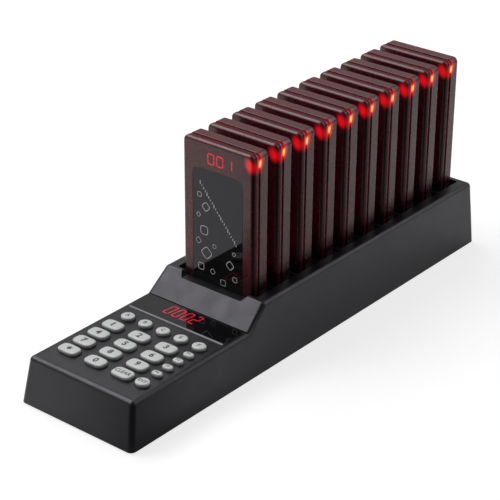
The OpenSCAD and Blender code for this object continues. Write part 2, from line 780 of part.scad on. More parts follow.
// A slab of the pager's outline, its far edge rounded
module pager_slab(depth) {
    steps = 3;
    profile = concat(
        [[0, 0], [pager_r, 0]],
        [for (i = [0:steps]) let (a = 90 * i / steps)
            [pager_r - pager_edge_r * (1 - cos(a)), depth - pager_edge_r * (1 - sin(a))]],
        [[0, depth]]
    );
    hull() for (x = [-1, 1], z = [-1, 1])
        translate([x * (pager_w / 2 - pager_r), z * (pager_h / 2 - pager_r), 0])
            rotate_extrude($fn = 24) polygon(profile);
}

module along_y(x, z, y0, y1, d) {
    translate([x, y1, z]) rotate([90, 0, 0]) cylinder(d = d, h = y1 - y0);
}

module pager_front_shell() {
    color(smoked_red) difference() {
        union() {
            difference() {
                translate([0, front_shell_t, pager_h / 2]) rotate([90, 0, 0]) pager_slab(front_shell_t);
                pager_outline(cavity_y0, front_shell_t + 1, cavity_inset);
            }
            for (p = PAGER_POSTS) along_y(p[0], p[1], cavity_y0 - EPS, board_y0 - seat, pager_post_d);
        }
        translate([0, label_t, label_top_z - label_h / 2]) rotate([90, 0, 0]) linear_extrude(label_t + 1)
            rounded_rectangle(label_w, label_h, label_r);
        for (p = PAGER_POSTS) along_y(p[0], p[1], cavity_y0 - 0.3, BIG, small_screw_d + 2 * seat);
    }
}

module pager_rear_shell() {
    head_l = (small_head_d - small_screw_d) / 2;
    color(smoked_red) difference() {
        union() {
            difference() {
                union() {
                    translate([0, body_y0, pager_h / 2]) rotate([-90, 0, 0]) pager_slab(pager_t - body_y0);
                    pager_outline(front_shell_t + seat, body_y0 + EPS, seam_depth);
                }
                pager_outline(0, cavity_y1, cavity_inset);
            }
            for (p = PAGER_POSTS) along_y(p[0], p[1], board_y1 + seat, cavity_y1 + EPS, pager_post_d);
        }
        for (p = PAGER_POSTS) {
            along_y(p[0], p[1], 0, BIG, small_screw_d + 0.3);
            translate([p[0], pager_t + EPS, p[1]]) rotate([90, 0, 0])
                cylinder(d1 = small_head_d + 0.2, d2 = small_screw_d + 0.2, h = head_l);
        }
        for (s = [-1, 1]) translate([s * contact_pitch / 2 - pad_w / 2 - seat, pad_y0 - seat, -1])
            cube([pad_w + 2 * seat, pad_l + 2 * seat, cavity_inset + 2]);
    }
}

module pager_label() {
    color(gloss_black) translate([0, label_t - seat, label_top_z - label_h / 2]) rotate([90, 0, 0])
        linear_extrude(label_t - 2 * seat) rounded_rectangle(label_w - 2 * seat, label_h - 2 * seat, label_r - seat);
}

module pager_display() {
    color("#3a0d10") translate([digits_shift - digits_w / 2, cavity_y0 + seat, digits_z - digits_h / 2])
        cube([digits_w, board_y0 - cavity_y0 - 2 * seat, digits_h]);
}

module pager_light() {
    color("#ff3a30") along_y(light_x, light_z, cavity_y0 + seat, board_y0 - seat, light_d);
}

module pager_board() {
    color(board_green) difference() {
        pager_outline(board_y0, board_y1, board_inset);
        for (p = PAGER_POSTS) along_y(p[0], p[1], 0, BIG, small_screw_d + 0.4);
    }
}

module pager_battery() {
    color("#b9bcc0") translate([-battery_w / 2, board_y1 + seat, battery_z])
        cube([battery_w, battery_t, battery_h]);
}

module pager_motor() {
    color("#9a9ca0") along_y(0, motor_z, board_y1 + seat, board_y1 + seat + motor_t, motor_d);
}

module pager_contacts() {
    leg_t = 0.6;
    color("#c9a24a") for (s = [-1, 1]) translate([s * contact_pitch / 2 - pad_w / 2, pad_y0, 0]) {
        cube([pad_w, pad_l, cavity_inset]);
        cube([pad_w, leg_t, board_inset + 3]);
    }
}

module pager_screws() {
    head_l = (small_head_d - small_screw_d) / 2;
    color("#8e9092") for (p = PAGER_POSTS) translate([p[0], pager_t - seat, p[1]]) rotate([90, 0, 0]) {
        cylinder(d = small_screw_d, h = pager_t - cavity_y0);
        cylinder(d1 = small_head_d, d2 = small_screw_d, h = head_l);
    }
}

module in_pocket(number) {
    from_front() translate([0, pager_y + (number - 1) * pager_pitch, pager_z]) children();
}

module pager(number) {
    in_pocket(number) {
        pager_front_shell();
        pager_rear_shell();
        pager_label();
        pager_display();
        pager_light();
        pager_board();
        pager_battery();
        pager_motor();
        pager_contacts();
        pager_screws();
    }
}

top_housing();
keypad_overlay();
display_lens();
display_module();
main_board();
dome_sheet();
radio_module();
antenna();
link_cable();
charging_tray();
charge_board();
charge_contacts();
dc_jack();
bottom_cover();
rubber_feet();
cover_screws();
board_screws();
for (k = KEYS) key(k[0]);
in_pocket(1) pager_front_shell();  // pager_1_front_shell
in_pocket(1) pager_rear_shell();  // pager_1_rear_shell
in_pocket(1) pager_label();  // pager_1_label
in_pocket(1) pager_display();  // pager_1_display
in_pocket(1) pager_light();  // pager_1_light
in_pocket(1) pager_board();  // pager_1_board
in_pocket(1) pager_battery();  // pager_1_battery
in_pocket(1) pager_motor();  // pager_1_motor
in_pocket(1) pager_contacts();  // pager_1_contacts
in_pocket(1) pager_screws();  // pager_1_screws
pager(2);  // pager_2
pager(3);  // pager_3
pager(4);  // pager_4
pager(5);  // pager_5
pager(6);  // pager_6
pager(7);  // pager_7
pager(8);  // pager_8
pager(9);  // pager_9
pager(10);  // pager_10
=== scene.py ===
"""Looks of the guest pager system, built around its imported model.

A keypad base in charcoal plastic holds ten smoked red pagers in a charging
tray. Lengths are in metres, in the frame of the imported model: X runs across
the base, Y from the keypad end to the back, Z up from the table.
"""

import math

import bmesh
import bpy
from mathutils import Matrix, Vector
from mathutils.bvhtree import BVHTree


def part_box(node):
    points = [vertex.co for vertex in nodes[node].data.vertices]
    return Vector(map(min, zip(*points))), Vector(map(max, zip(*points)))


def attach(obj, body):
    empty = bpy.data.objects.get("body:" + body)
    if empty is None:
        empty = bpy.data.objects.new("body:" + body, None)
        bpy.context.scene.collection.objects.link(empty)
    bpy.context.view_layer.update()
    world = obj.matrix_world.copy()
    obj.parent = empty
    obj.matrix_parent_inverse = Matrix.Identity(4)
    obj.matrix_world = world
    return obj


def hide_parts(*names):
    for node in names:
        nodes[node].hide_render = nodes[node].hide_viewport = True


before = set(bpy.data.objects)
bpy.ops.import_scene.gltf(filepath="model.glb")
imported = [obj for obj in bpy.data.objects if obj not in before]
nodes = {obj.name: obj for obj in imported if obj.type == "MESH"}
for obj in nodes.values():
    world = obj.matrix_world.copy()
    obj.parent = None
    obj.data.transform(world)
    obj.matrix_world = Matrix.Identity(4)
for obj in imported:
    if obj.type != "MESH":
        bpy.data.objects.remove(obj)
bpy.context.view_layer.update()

MM = 0.001
PAGER_COUNT = 10
SMOOTH_ANGLE = math.radians(32)
CORNER_STEPS = 8
ROUNDING_STEPS = 5

collection = bpy.context.scene.collection
pieces = []


def node_centre(node):
    low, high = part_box(node)
    return (low + high) / 2


# ---- Finishes ----


def feed(node, socket, value):
    """Links a node's input to a socket, or sets it to a value."""
    if isinstance(value, bpy.types.NodeSocket):
        node.id_data.links.new(value, node.inputs[socket])
    else:
        node.inputs[socket].default_value = value


def add(tree, kind, inputs, **settings):
    """Adds a shader node, with its settings and inputs."""
    made = tree.nodes.new(kind)
    for key, value in settings.items():
        setattr(made, key, value)
    for socket, value in inputs.items():
        feed(made, socket, value)
    return made


def reckon(tree, operation, *values, clamp=False):
    """One Math node's result."""
    inputs = dict(enumerate(values))
    made = add(tree, "ShaderNodeMath", inputs, operation=operation, use_clamp=clamp)
    return made.outputs[0]


def product(tree, first, *others):
    """The product of shares, by Math nodes."""
    for other in others:
        first = reckon(tree, "MULTIPLY", first, other)
    return first


def vector_math(tree, operation, *values):
    """One Vector Math node's outputs."""
    return add(tree, "ShaderNodeVectorMath", dict(enumerate(values)), operation=operation).outputs


def mottle(tree, place, scale, detail=2.0):
    """Soft irregular patches between 0 and 1, scale patches to the metre."""
    inputs = {"Vector": place, "Scale": scale, "Detail": detail}
    return add(tree, "ShaderNodeTexNoise", inputs).outputs[0]


def between(tree, share, low, high, start=0.0, end=1.0, smooth=False):
    """Maps share from start..end to low..high."""
    inputs = {"Value": share, "From Min": start, "From Max": end, "To Min": low, "To Max": high}
    kind = "SMOOTHSTEP" if smooth else "LINEAR"
    return add(tree, "ShaderNodeMapRange", inputs, interpolation_type=kind).outputs[0]


def blend_colour(tree, share, first, second):
    """A colour between first and second, each a colour or a socket."""
    inputs = {0: share}
    for index, colour in ((6, first), (7, second)):
        is_socket = isinstance(colour, bpy.types.NodeSocket)
        inputs[index] = colour if is_socket else (*colour, 1.0)
    return add(tree, "ShaderNodeMix", inputs, data_type="RGBA").outputs[2]


def new_finish(name):
    """A material with its tree, its Principled shader and its Object coordinates."""
    finish = bpy.data.materials.new(name)
    finish.use_nodes = True
    tree = finish.node_tree
    shader = tree.nodes["Principled BSDF"]
    place = add(tree, "ShaderNodeTexCoord", {}).outputs["Object"]
    return finish, tree, shader, place


def add_bump(tree, shader, height, distance, strength=1.0):
    inputs = {"Height": height, "Distance": distance, "Strength": strength}
    bump = add(tree, "ShaderNodeBump", inputs)
    feed(shader, "Normal", bump.outputs[0])


def drift(tree, place, scale, low=0.0, high=1.0, start=0.3, end=0.7):
    """A value that drifts between low and high over the surface."""
    return between(tree, mottle(tree, place, scale), low, high, start, end)


def moulded_plastic(name, dark, light, roughness, grain=1700.0):
    """Spark-textured plastic: fine grain, cloudy tone, and slightly uneven sheen."""
    cloud_share, spread, depth = 0.55, 0.05, 0.04 * MM
    finish, tree, shader, place = new_finish(name)
    cloud = product(tree, mottle(tree, place, 22.0), cloud_share)
    speck = mottle(tree, place, grain, 1.0)
    tone = reckon(tree, "ADD", cloud, product(tree, speck, 1.0 - cloud_share))
    tone = between(tree, tone, 0.0, 1.0, 0.35, 0.65)
    feed(shader, "Base Color", blend_colour(tree, tone, dark, light))
    sheen = drift(tree, place, 90.0, roughness - spread, roughness + spread)
    feed(shader, "Roughness", sheen)
    feed(shader, "Specular Tint", (0.95, 0.92, 1.0, 1.0))
    add_bump(tree, shader, speck, depth)
    return finish


def key_plastic(name, dark, light, top_z):
    """Fine light plastic, shaded at the foot of a key's side."""
    shadow, shadow_share = (0.05, 0.05, 0.052), 0.85
    shadow_z, clear_z = top_z - 2.4 * MM, top_z - 1.1 * MM
    finish, tree, shader, place = new_finish(name)
    speck = mottle(tree, place, 3200.0, 1.0)
    body = blend_colour(tree, between(tree, speck, 0.0, 1.0, 0.3, 0.7), dark, light)
    up = add(tree, "ShaderNodeSeparateXYZ", {0: place}).outputs[2]
    shade = between(tree, up, shadow_share, 0.0, shadow_z, clear_z, smooth=True)
    feed(shader, "Base Color", blend_colour(tree, shade, body, shadow))
    feed(shader, "Roughness", drift(tree, place, 90.0, 0.34, 0.42))
    add_bump(tree, shader, speck, 0.01 * MM)
    return finish


def fine_finish(name, first, second, roughness, scale=60.0, spread=0.05, metallic=0.0, depth=0.0):
    """A smooth finish of two near tones, for metal, rubber and print."""
    finish, tree, shader, place = new_finish(name)
    share = drift(tree, place, scale)
    feed(shader, "Base Color", blend_colour(tree, share, first, second))
    sheen = drift(tree, place, 2.3 * scale, roughness - spread, roughness + spread)
    feed(shader, "Roughness", sheen)
    feed(shader, "Metallic", metallic)
    if depth:
        add_bump(tree, shader, mottle(tree, place, 9.0 * scale), depth)
    return finish


def polished_black(name, base, tint, gloss):
    """Polished dark acrylic, with hardly visible waves and dust."""
    finish, tree, shader, place = new_finish(name)
    feed(shader, "Specular IOR Level", gloss)
    feed(shader, "Specular Tint", (0.95, 0.93, 1.0, 1.0))
    share = drift(tree, place, 40.0, start=0.35, end=0.65)
    feed(shader, "Base Color", blend_colour(tree, share, base, tint))
    sheen = drift(tree, place, 300.0, 0.02, 0.05, 0.4)
    feed(shader, "Roughness", sheen)
    return finish


def lit_red(name, colour, strength):
    """A glowing display segment, brighter in patches where its chip sits."""
    finish, tree, shader, place = new_finish(name)
    glow = drift(tree, place, 400.0, 0.8 * strength, 1.15 * strength)
    feed(shader, "Base Color", (*colour, 1.0))
    feed(shader, "Emission Color", (*colour, 1.0))
    feed(shader, "Emission Strength", glow)
    feed(shader, "Roughness", 0.25)
    return finish


def lobe(tree, across, up, middle, radii, skew=0.0):
    """1 at the middle of an ellipse, 0 at its edge and beyond. Skew leans its upright axis."""
    rise = reckon(tree, "SUBTRACT", up, middle[1])
    aside = reckon(tree, "SUBTRACT", across, reckon(tree, "MULTIPLY_ADD", rise, skew, middle[0]))
    squares = []
    for distance, radius in ((aside, radii[0]), (rise, radii[1])):
        share = reckon(tree, "ABSOLUTE", reckon(tree, "DIVIDE", distance, radius))
        squares.append(reckon(tree, "POWER", share, 2.0))
    away = reckon(tree, "SQRT", reckon(tree, "ADD", *squares))
    return reckon(tree, "SUBTRACT", 1.0, away, clamp=True)


CASE_BROWN = (0.070, 0.0085, 0.013)
CASE_RED = (0.165, 0.007, 0.013)
# Painted shade at the foot of each pager
CASE_FOOT_SHADE = (0.018, 0.004, 0.006)
CASE_BEAD = (0.10, 0.006, 0.010)
# Painted shade on the front shell's flanks
CASE_FLANK_SHADE = (0.016, 0.004, 0.005)
LIGHT_RIM = (0.55, 0.001, 0.004)
LIGHT_BODY = (0.80, 0.003, 0.010)
LIGHT_CORE = (1.0, 0.42, 0.10)


def case_body(tree, place, spot, right_x, top_z):
    """The case's colour and its dull share, at spot: across, behind the front face, up."""
    across, depth, up = spot
    # Brownish at the top, redder towards the lower left, mottled
    low = between(tree, up, 1.0, 0.3, top_z - 75 * MM, top_z - 5 * MM, smooth=True)
    left = between(tree, across, 1.0, 0.25, -right_x, right_x)
    patches = between(tree, mottle(tree, place, 42.0, 3.0), 0.1, 1.0, 0.38, 0.60)
    body = blend_colour(tree, product(tree, low, left, patches), CASE_BROWN, CASE_RED)
    # Painted shade: the foot is darkened where it stands in the shade of the well
    foot = between(tree, up, 0.75, 0.0, top_z - 90 * MM, top_z - 72 * MM, smooth=True)
    body = blend_colour(tree, foot, body, CASE_FOOT_SHADE)
    # The bead in the seam is a dull red insert
    bead_middle, bead_reach = 3.4 * MM, 1.5 * MM
    seam = lobe(tree, depth, depth, (bead_middle, bead_middle), (bead_reach, bead_reach))
    seam = between(tree, seam, 0.0, 1.0, 0.0, 0.25)
    body = blend_colour(tree, seam, body, CASE_BEAD)
    # Painted shade: the front shell's flanks are darkened, and given hardly any sheen
    aside = reckon(tree, "ABSOLUTE", across)
    beside = between(tree, aside, 0.0, 1.0, right_x - 1.3 * MM, right_x - 0.4 * MM)
    before = between(tree, depth, 1.0, 0.0, 2.6 * MM, 2.8 * MM)
    below = between(tree, up, 1.0, 0.0, top_z - 4 * MM, top_z - 2 * MM)
    flank_shade = product(tree, beside, before, below)
    body = blend_colour(tree, flank_shade, body, CASE_FLANK_SHADE)
    return body, reckon(tree, "MAXIMUM", seam, flank_shade)


def call_glow(tree, spot, right_x, top_z):
    """The call light's colour and strength: a lobe in each shell, close together below."""
    across, depth, up = spot
    in_front = between(tree, depth, 1.0, 0.0, 2.5 * MM, 3.0 * MM)
    front_middle = (right_x - 2.6 * MM, top_z - 6.4 * MM)
    front = lobe(tree, across, up, front_middle, (4.9 * MM, 6.2 * MM), -0.22)
    on_side = between(tree, across, 0.0, 1.0, right_x - 7.5 * MM, right_x - 4.5 * MM)
    behind = product(tree, reckon(tree, "SUBTRACT", 1.0, in_front), on_side)
    side_middle = (6.3 * MM, top_z - 6.6 * MM)
    side = lobe(tree, depth, up, side_middle, (5.2 * MM, 7.8 * MM), 0.24)
    glow = reckon(tree, "MAXIMUM", product(tree, front, in_front), product(tree, side, behind))
    core_middle = (7.0 * MM, top_z - 6.2 * MM)
    core = lobe(tree, depth, up, core_middle, (0.9 * MM, 3.4 * MM), 0.12)
    hot = product(tree, core, behind)
    red = blend_colour(tree, between(tree, glow, 0.0, 1.0, 0.0, 0.8), LIGHT_RIM, LIGHT_BODY)
    colour = blend_colour(tree, between(tree, hot, 0.0, 1.0, 0.0, 0.55), red, LIGHT_CORE)
    strength = between(tree, glow, 0.0, 0.8, 0.0, 0.8, smooth=True)
    return colour, reckon(tree, "ADD", strength, product(tree, hot, 0.7))


def smoked_red_case(name, front_y, pitch, right_x, top_z):
    """Smoked red translucent plastic, lit from inside at its top right corner."""
    finish, tree, shader, place = new_finish(name)
    parts = add(tree, "ShaderNodeSeparateXYZ", {0: place}).outputs
    # How far behind its own pager's front face a point lies, from 1 mm before it on
    depth = reckon(tree, "MODULO", reckon(tree, "SUBTRACT", parts[1], front_y - MM), pitch)
    spot = (parts[0], reckon(tree, "SUBTRACT", depth, MM), parts[2])
    body, dull = case_body(tree, place, spot, right_x, top_z)
    colour, strength = call_glow(tree, spot, right_x, top_z)
    feed(shader, "Base Color", body)
    feed(shader, "Specular IOR Level", between(tree, dull, 0.5, 0.06))
    sheen = drift(tree, place, 130.0, 0.22, 0.31, 0.35, 0.65)
    feed(shader, "Roughness", sheen)
    add_bump(tree, shader, mottle(tree, place, 220.0), 0.01 * MM)
    feed(shader, "Emission Color", colour)
    feed(shader, "Emission Strength", strength)
    return finish


def circuit_green(name):
    """Solder resist over copper tracks, with tinned pads."""
    finish, tree, shader, place = new_finish(name)
    turned = add(tree, "ShaderNodeMapping", {"Vector": place, "Rotation": (0.0, 0.0, math.radians(45))})
    inputs = {"Vector": turned.outputs[0], "Scale": 420.0}
    cells = add(tree, "ShaderNodeTexVoronoi", inputs, distance="CHEBYCHEV", feature="F1")
    tracks = between(tree, cells.outputs["Distance"], 0.0, 1.0, 0.42, 0.5)
    body = blend_colour(tree, tracks, (0.012, 0.075, 0.035), (0.025, 0.13, 0.06))
    pads = between(tree, cells.outputs["Distance"], 1.0, 0.0, 0.05, 0.09)
    feed(shader, "Base Color", blend_colour(tree, pads, body, (0.55, 0.55, 0.5)))
    feed(shader, "Metallic", pads)
    feed(shader, "Roughness", 0.35)
    add_bump(tree, shader, tracks, 0.02 * MM)
    return finish


pager_low, pager_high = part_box("pager_1_front_shell")
pager_front_y = pager_low.y
pager_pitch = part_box("pager_2")[0].y - pager_front_y

finish_housing = moulded_plastic(
    "charcoal_housing", (0.0095, 0.0088, 0.0108), (0.0150, 0.0140, 0.0168), 0.34
)
finish_overlay = moulded_plastic(
    "charcoal_overlay", (0.010, 0.0092, 0.0112), (0.0150, 0.0140, 0.0166), 0.36, grain=3400.0
)
finish_tray = moulded_plastic("black_tray", (0.003, 0.0028, 0.0032), (0.005, 0.0046, 0.0052), 0.36)
finish_cover = moulded_plastic("black_cover", (0.012, 0.012, 0.013), (0.018, 0.018, 0.019), 0.5)
finish_inlet = moulded_plastic("black_inlet", (0.008, 0.008, 0.009), (0.014, 0.014, 0.015), 0.4)
finish_key = key_plastic("light_grey_key", (0.56, 0.58, 0.57), (0.63, 0.65, 0.64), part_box("key_1")[1].z)
finish_legend = fine_finish("printed_legend", (0.026, 0.032, 0.033), (0.040, 0.046, 0.047), 0.5, 900.0)
finish_case = smoked_red_case("smoked_red_case", pager_front_y, pager_pitch, pager_high.x, pager_high.z)
finish_label = polished_black("polished_label", (0.0035, 0.0035, 0.004), (0.005, 0.005, 0.006), 0.41)
finish_lens = polished_black("polished_lens", (0.003, 0.003, 0.0035), (0.0045, 0.0045, 0.0055), 0.6)
finish_ink = fine_finish("white_print", (0.62, 0.64, 0.66), (0.74, 0.76, 0.78), 0.5, 1500.0)
finish_digit = lit_red("lit_pager_digit", (0.70, 0.005, 0.012), 0.50)
finish_readout = lit_red("lit_base_digit", (0.66, 0.006, 0.024), 0.42)
finish_board = circuit_green("circuit_green")
finish_steel = fine_finish(
    "zinc_steel", (0.48, 0.49, 0.50), (0.60, 0.61, 0.62), 0.32, 700.0, 0.06, metallic=1.0, depth=0.005 * MM
)
finish_can = fine_finish(
    "tinned_can", (0.58, 0.59, 0.60), (0.70, 0.71, 0.72), 0.28, 350.0, 0.06, metallic=1.0, depth=0.005 * MM
)
finish_gold = fine_finish("gold_flash", (0.62, 0.44, 0.16), (0.74, 0.55, 0.22), 0.26, 600.0, metallic=1.0)
finish_foil = fine_finish(
    "battery_foil", (0.60, 0.61, 0.63), (0.72, 0.73, 0.75), 0.3, 180.0, 0.08, metallic=0.9, depth=0.02 * MM
)
finish_silicone = fine_finish("grey_silicone", (0.27, 0.28, 0.285), (0.33, 0.34, 0.345), 0.6, 250.0)
finish_rubber = fine_finish(
    "black_rubber", (0.010, 0.010, 0.011), (0.018, 0.018, 0.019), 0.72, 1200.0, depth=0.03 * MM
)
finish_cable = fine_finish("grey_cable", (0.55, 0.55, 0.53), (0.64, 0.64, 0.62), 0.45, 300.0)
finish_sleeve = fine_finish("black_sleeve", (0.012, 0.012, 0.014), (0.020, 0.020, 0.022), 0.45, 400.0)
finish_module = fine_finish("dark_red_module", (0.030, 0.003, 0.004), (0.045, 0.005, 0.006), 0.2, 300.0)
finish_call_light = lit_red("call_light", (0.85, 0.01, 0.02), 1.2)


# ---- Making pieces ----


def settle(bm, name, body, finishes, replaced=(), angle=SMOOTH_ANGLE):
    """Makes a bmesh a piece, smooth but for its sharp edges, riding on a body."""
    mesh = bpy.data.meshes.new(name)
    bm.to_mesh(mesh)
    bm.free()
    return settle_mesh(mesh, name, body, finishes, replaced, angle)


def settle_mesh(mesh, name, body, finishes, replaced=(), angle=SMOOTH_ANGLE):
    """Makes a mesh a piece, and hides the CAD nodes that it stands for."""
    for finish in finishes:
        mesh.materials.append(finish)
    mesh.polygons.foreach_set("use_smooth", [True] * len(mesh.polygons))
    mesh.set_sharp_from_angle(angle=angle)
    piece = bpy.data.objects.new(name, mesh)
    collection.objects.link(piece)
    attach(piece, body)
    if replaced:
        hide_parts(*replaced)
    pieces.append(piece)
    return piece


def merged_copy(node):
    """A CAD node's triangles merged to whole faces."""
    bm = bmesh.new()
    bm.from_mesh(nodes[node].data)
    bmesh.ops.remove_doubles(bm, verts=bm.verts, dist=0.002 * MM)
    bmesh.ops.dissolve_limit(bm, angle_limit=math.radians(0.3), verts=bm.verts, edges=bm.edges)
    for face in bm.faces:
        face.material_index = 0
    return bm


def soften(piece, width, segments=2, angle=40.0):
    """Breaks a piece's sharp edges with a small bevel."""
    bevel = piece.modifiers.new("soft_edges", "BEVEL")
    bevel.width = width
    bevel.segments = segments
    bevel.limit_method = "ANGLE"
    bevel.angle_limit = math.radians(angle)
    return piece


def move(bm, vec):
    bmesh.ops.translate(bm, vec=vec, verts=bm.verts)


def stretch(bm, vec):
    bmesh.ops.scale(bm, vec=vec, verts=bm.verts)


def turn_flat(bm, degrees):
    """Turns a bmesh about the Z axis."""
    spin = Matrix.Rotation(math.radians(degrees), 3, "Z")
    bmesh.ops.rotate(bm, cent=(0, 0, 0), matrix=spin, verts=bm.verts)


def disc(segments, radius=1.0):
    """A flat face on z 0, around the origin."""
    bm = bmesh.new()
    bmesh.ops.create_circle(bm, cap_ends=True, segments=segments, radius=radius)
    return bm


def block(width, length, height):
    """A box around the origin."""
    bm = bmesh.new()
    bmesh.ops.create_cube(bm, size=1.0)
    stretch(bm, (width, length, height))
    return bm


def face_towards(bm, direction):
    """The face that lies furthest out in a direction."""
    return max(bm.faces, key=lambda face: face.calc_center_median().dot(direction))


def pull(bm, face, depth):
    """Extrudes a face along its normal and gives the moved face."""
    normal = face.normal.copy()
    made = bmesh.ops.extrude_face_region(bm, geom=[face])["geom"]
    moved = [part for part in made if isinstance(part, bmesh.types.BMFace)][0]
    if face.is_valid:
        bmesh.ops.delete(bm, geom=[face], context="FACES_ONLY")
    bmesh.ops.translate(bm, vec=normal * depth, verts=moved.verts)
    moved.normal_update()
    return moved


def inset(bm, face, thickness, depth=0.0):
    """Insets a face evenly, with a rise along its normal. The face stays the inner one."""
    bmesh.ops.inset_region(
        bm, faces=[face], thickness=thickness, depth=depth, use_even_offset=True, use_boundary=True
    )
    face.normal_update()
    return face


def extrude_up(bm, faces, height):
    """Makes flat faces a closed solid."""
    made = bmesh.ops.extrude_face_region(bm, geom=faces)["geom"]
    moved = [part for part in made if isinstance(part, bmesh.types.BMVert)]
    bmesh.ops.translate(bm, vec=(0, 0, height), verts=moved)
    bmesh.ops.recalc_face_normals(bm, faces=bm.faces)


def face_up(bm):
    """The only face of bm, turned to look up."""
    bm.normal_update()
    face = bm.faces[:][0]
    if face.normal.z < 0:
        face.normal_flip()
    return face


def quarter_round(radius, steps=ROUNDING_STEPS):
    """How far each step of a quarter round goes inwards and up."""
    for step in range(steps):
        old = math.radians(90) * step / steps
        new = math.radians(90) * (step + 1) / steps
        yield radius * (math.cos(old) - math.cos(new)), radius * (math.sin(new) - math.sin(old))


def round_off(bm, face, radius, steps=ROUNDING_STEPS, rise=1.0):
    """A quarter round from a face's outline, by insets that rise to the face's new place."""
    for inward, up in quarter_round(radius, steps):
        inset(bm, face, inward, rise * up)


def bevel_edges(bm, edges, width, steps):
    bmesh.ops.bevel(bm, geom=edges, offset=width, segments=steps, profile=0.5, affect="EDGES", material=-1)


def rounded_slab(width, length, thickness, radius, steps=CORNER_STEPS):
    """A slab from z 0 up, centred on the origin, with four rounded upright corners."""
    bm = block(width, length, thickness)
    move(bm, (0, 0, thickness / 2))
    upright = [
        edge for edge in bm.edges
        if abs(edge.verts[0].co.z - edge.verts[1].co.z) > 0.5 * thickness
    ]
    bevel_edges(bm, upright, radius, steps)
    bm.normal_update()
    return bm


def reshape_outline(face, old, new, shift=(0.0, 0.0)):
    """Moves a rounded rectangle's corners: old and new are (width, length, radius)."""
    for vert in face.verts:
        sides = (math.copysign(1, vert.co.x), math.copysign(1, vert.co.y))
        for axis in (0, 1):
            centre = sides[axis] * (old[axis] / 2 - old[2])
            new_centre = sides[axis] * (new[axis] / 2 - new[2]) + shift[axis]
            vert.co[axis] = new_centre + (vert.co[axis] - centre) * new[2] / old[2]


def oval_slab(half_width, half_length, height, power, steps=64):
    """A slab whose outline lies between an ellipse and a rectangle."""
    bm = disc(steps)
    for vert in bm.verts:
        for axis, half in ((0, half_width), (1, half_length)):
            part = max(-1.0, min(1.0, vert.co[axis]))
            vert.co[axis] = half * math.copysign(abs(part) ** (2 / power), part)
    extrude_up(bm, [face_up(bm)], height)
    return bm


def join_in(bm, other):
    """Adds another bmesh's geometry to bm, and frees the other."""
    spare = bpy.data.meshes.new("spare")
    other.to_mesh(spare)
    other.free()
    bm.from_mesh(spare)
    bpy.data.meshes.remove(spare)


def lettering(text, size, boldness, thickness, narrowness=1.0):
    """Plain raised lettering as a bmesh, centred on the origin, reading along X."""
    curve = bpy.data.curves.new("lettering", "FONT")
    curve.body = text
    curve.size = size
    curve.offset = boldness
    curve.extrude = thickness / 2
    curve.resolution_u = 3
    holder = bpy.data.objects.new("lettering", curve)
    collection.objects.link(holder)
    bpy.context.view_layer.update()
    mesh = bpy.data.meshes.new_from_object(holder.evaluated_get(bpy.context.evaluated_depsgraph_get()))
    bm = bmesh.new()
    bm.from_mesh(mesh)
    bpy.data.objects.remove(holder)
    bpy.data.curves.remove(curve)
    bpy.data.meshes.remove(mesh)
    bmesh.ops.remove_doubles(bm, verts=bm.verts, dist=0.002 * MM)
    stretch(bm, (narrowness, 1, 1))
    low = Vector(min(v.co[axis] for v in bm.verts) for axis in range(3))
    high = Vector(max(v.co[axis] for v in bm.verts) for axis in range(3))
    move(bm, -(low + high) / 2)
    for face in bm.faces:
        face.material_index = 0
    return bm


# The seven bars of a digit, as (middle x, middle y, is upright) in half cells
BARS = {
    "a": (0, 1, False), "b": (1, 0.5, True), "c": (1, -0.5, True), "d": (0, -1, False),
    "e": (-1, -0.5, True), "f": (-1, 0.5, True), "g": (0, 0, False),
}
LIT_BARS = {
    "0": "abcdef", "1": "bc", "2": "abdeg", "3": "abcdg", "4": "bcfg",
    "5": "acdfg", "6": "acdefg", "7": "abc", "8": "abcdefg", "9": "abcdfg",
}


def lit_bar(length, stroke, thickness):
    """One six-sided bar along X."""
    bm = disc(6)
    turn_flat(bm, 90)
    for vert in bm.verts:
        tip = abs(vert.co.y) < 0.1 * abs(vert.co.x)
        vert.co.x = math.copysign(length / 2 - (0 if tip else stroke / 2), vert.co.x)
        vert.co.y = 0.0 if tip else math.copysign(stroke / 2, vert.co.y)
    extrude_up(bm, bm.faces[:], thickness)
    return bm


def bar_digits(text, width, height, pitch, stroke, thickness, slant=0.0):
    """Digits of lit bars, the first one's middle at the origin, reading along X."""
    bm = bmesh.new()
    for index, digit in enumerate(text):
        for bar in LIT_BARS[digit]:
            across, up, upright = BARS[bar]
            length = (height - stroke) / 2 if upright else width - stroke
            gap = 0.12 * stroke
            made = lit_bar(length - gap, stroke, thickness)
            if upright:
                turn_flat(made, 90)
            middle = (across * (width - stroke) / 2 + index * pitch, up * (height - stroke) / 2, 0)
            move(made, middle)
            join_in(bm, made)
    for vert in bm.verts:
        vert.co.x += slant * vert.co.y
    return bm


# ---- Base ----

lens_low, lens_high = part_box("display_lens")

# Mouldings that keep their CAD shape: node, piece, finish, slot, edge in mm, steps of the edge
MOULDINGS = [
    ("top_housing", "housing_shell", finish_housing, "housing", 0.25, 2),
    ("keypad_overlay", "keypad_plate", finish_overlay, "housing", 0.12, 1),
    ("charging_tray", "tray_moulding", finish_tray, "black_plastic", 0.25, 2),
    ("bottom_cover", "cover_moulding", finish_cover, "black_plastic", 0.2, 1),
]


def make_moulding(node, name, finish, slot, edge, steps):
    """A CAD piece of the base with its sharp edges broken."""
    soften(settle(merged_copy(node), name, "base", [finish], [node]), edge * MM, steps)


for moulding in MOULDINGS:
    make_moulding(*moulding)


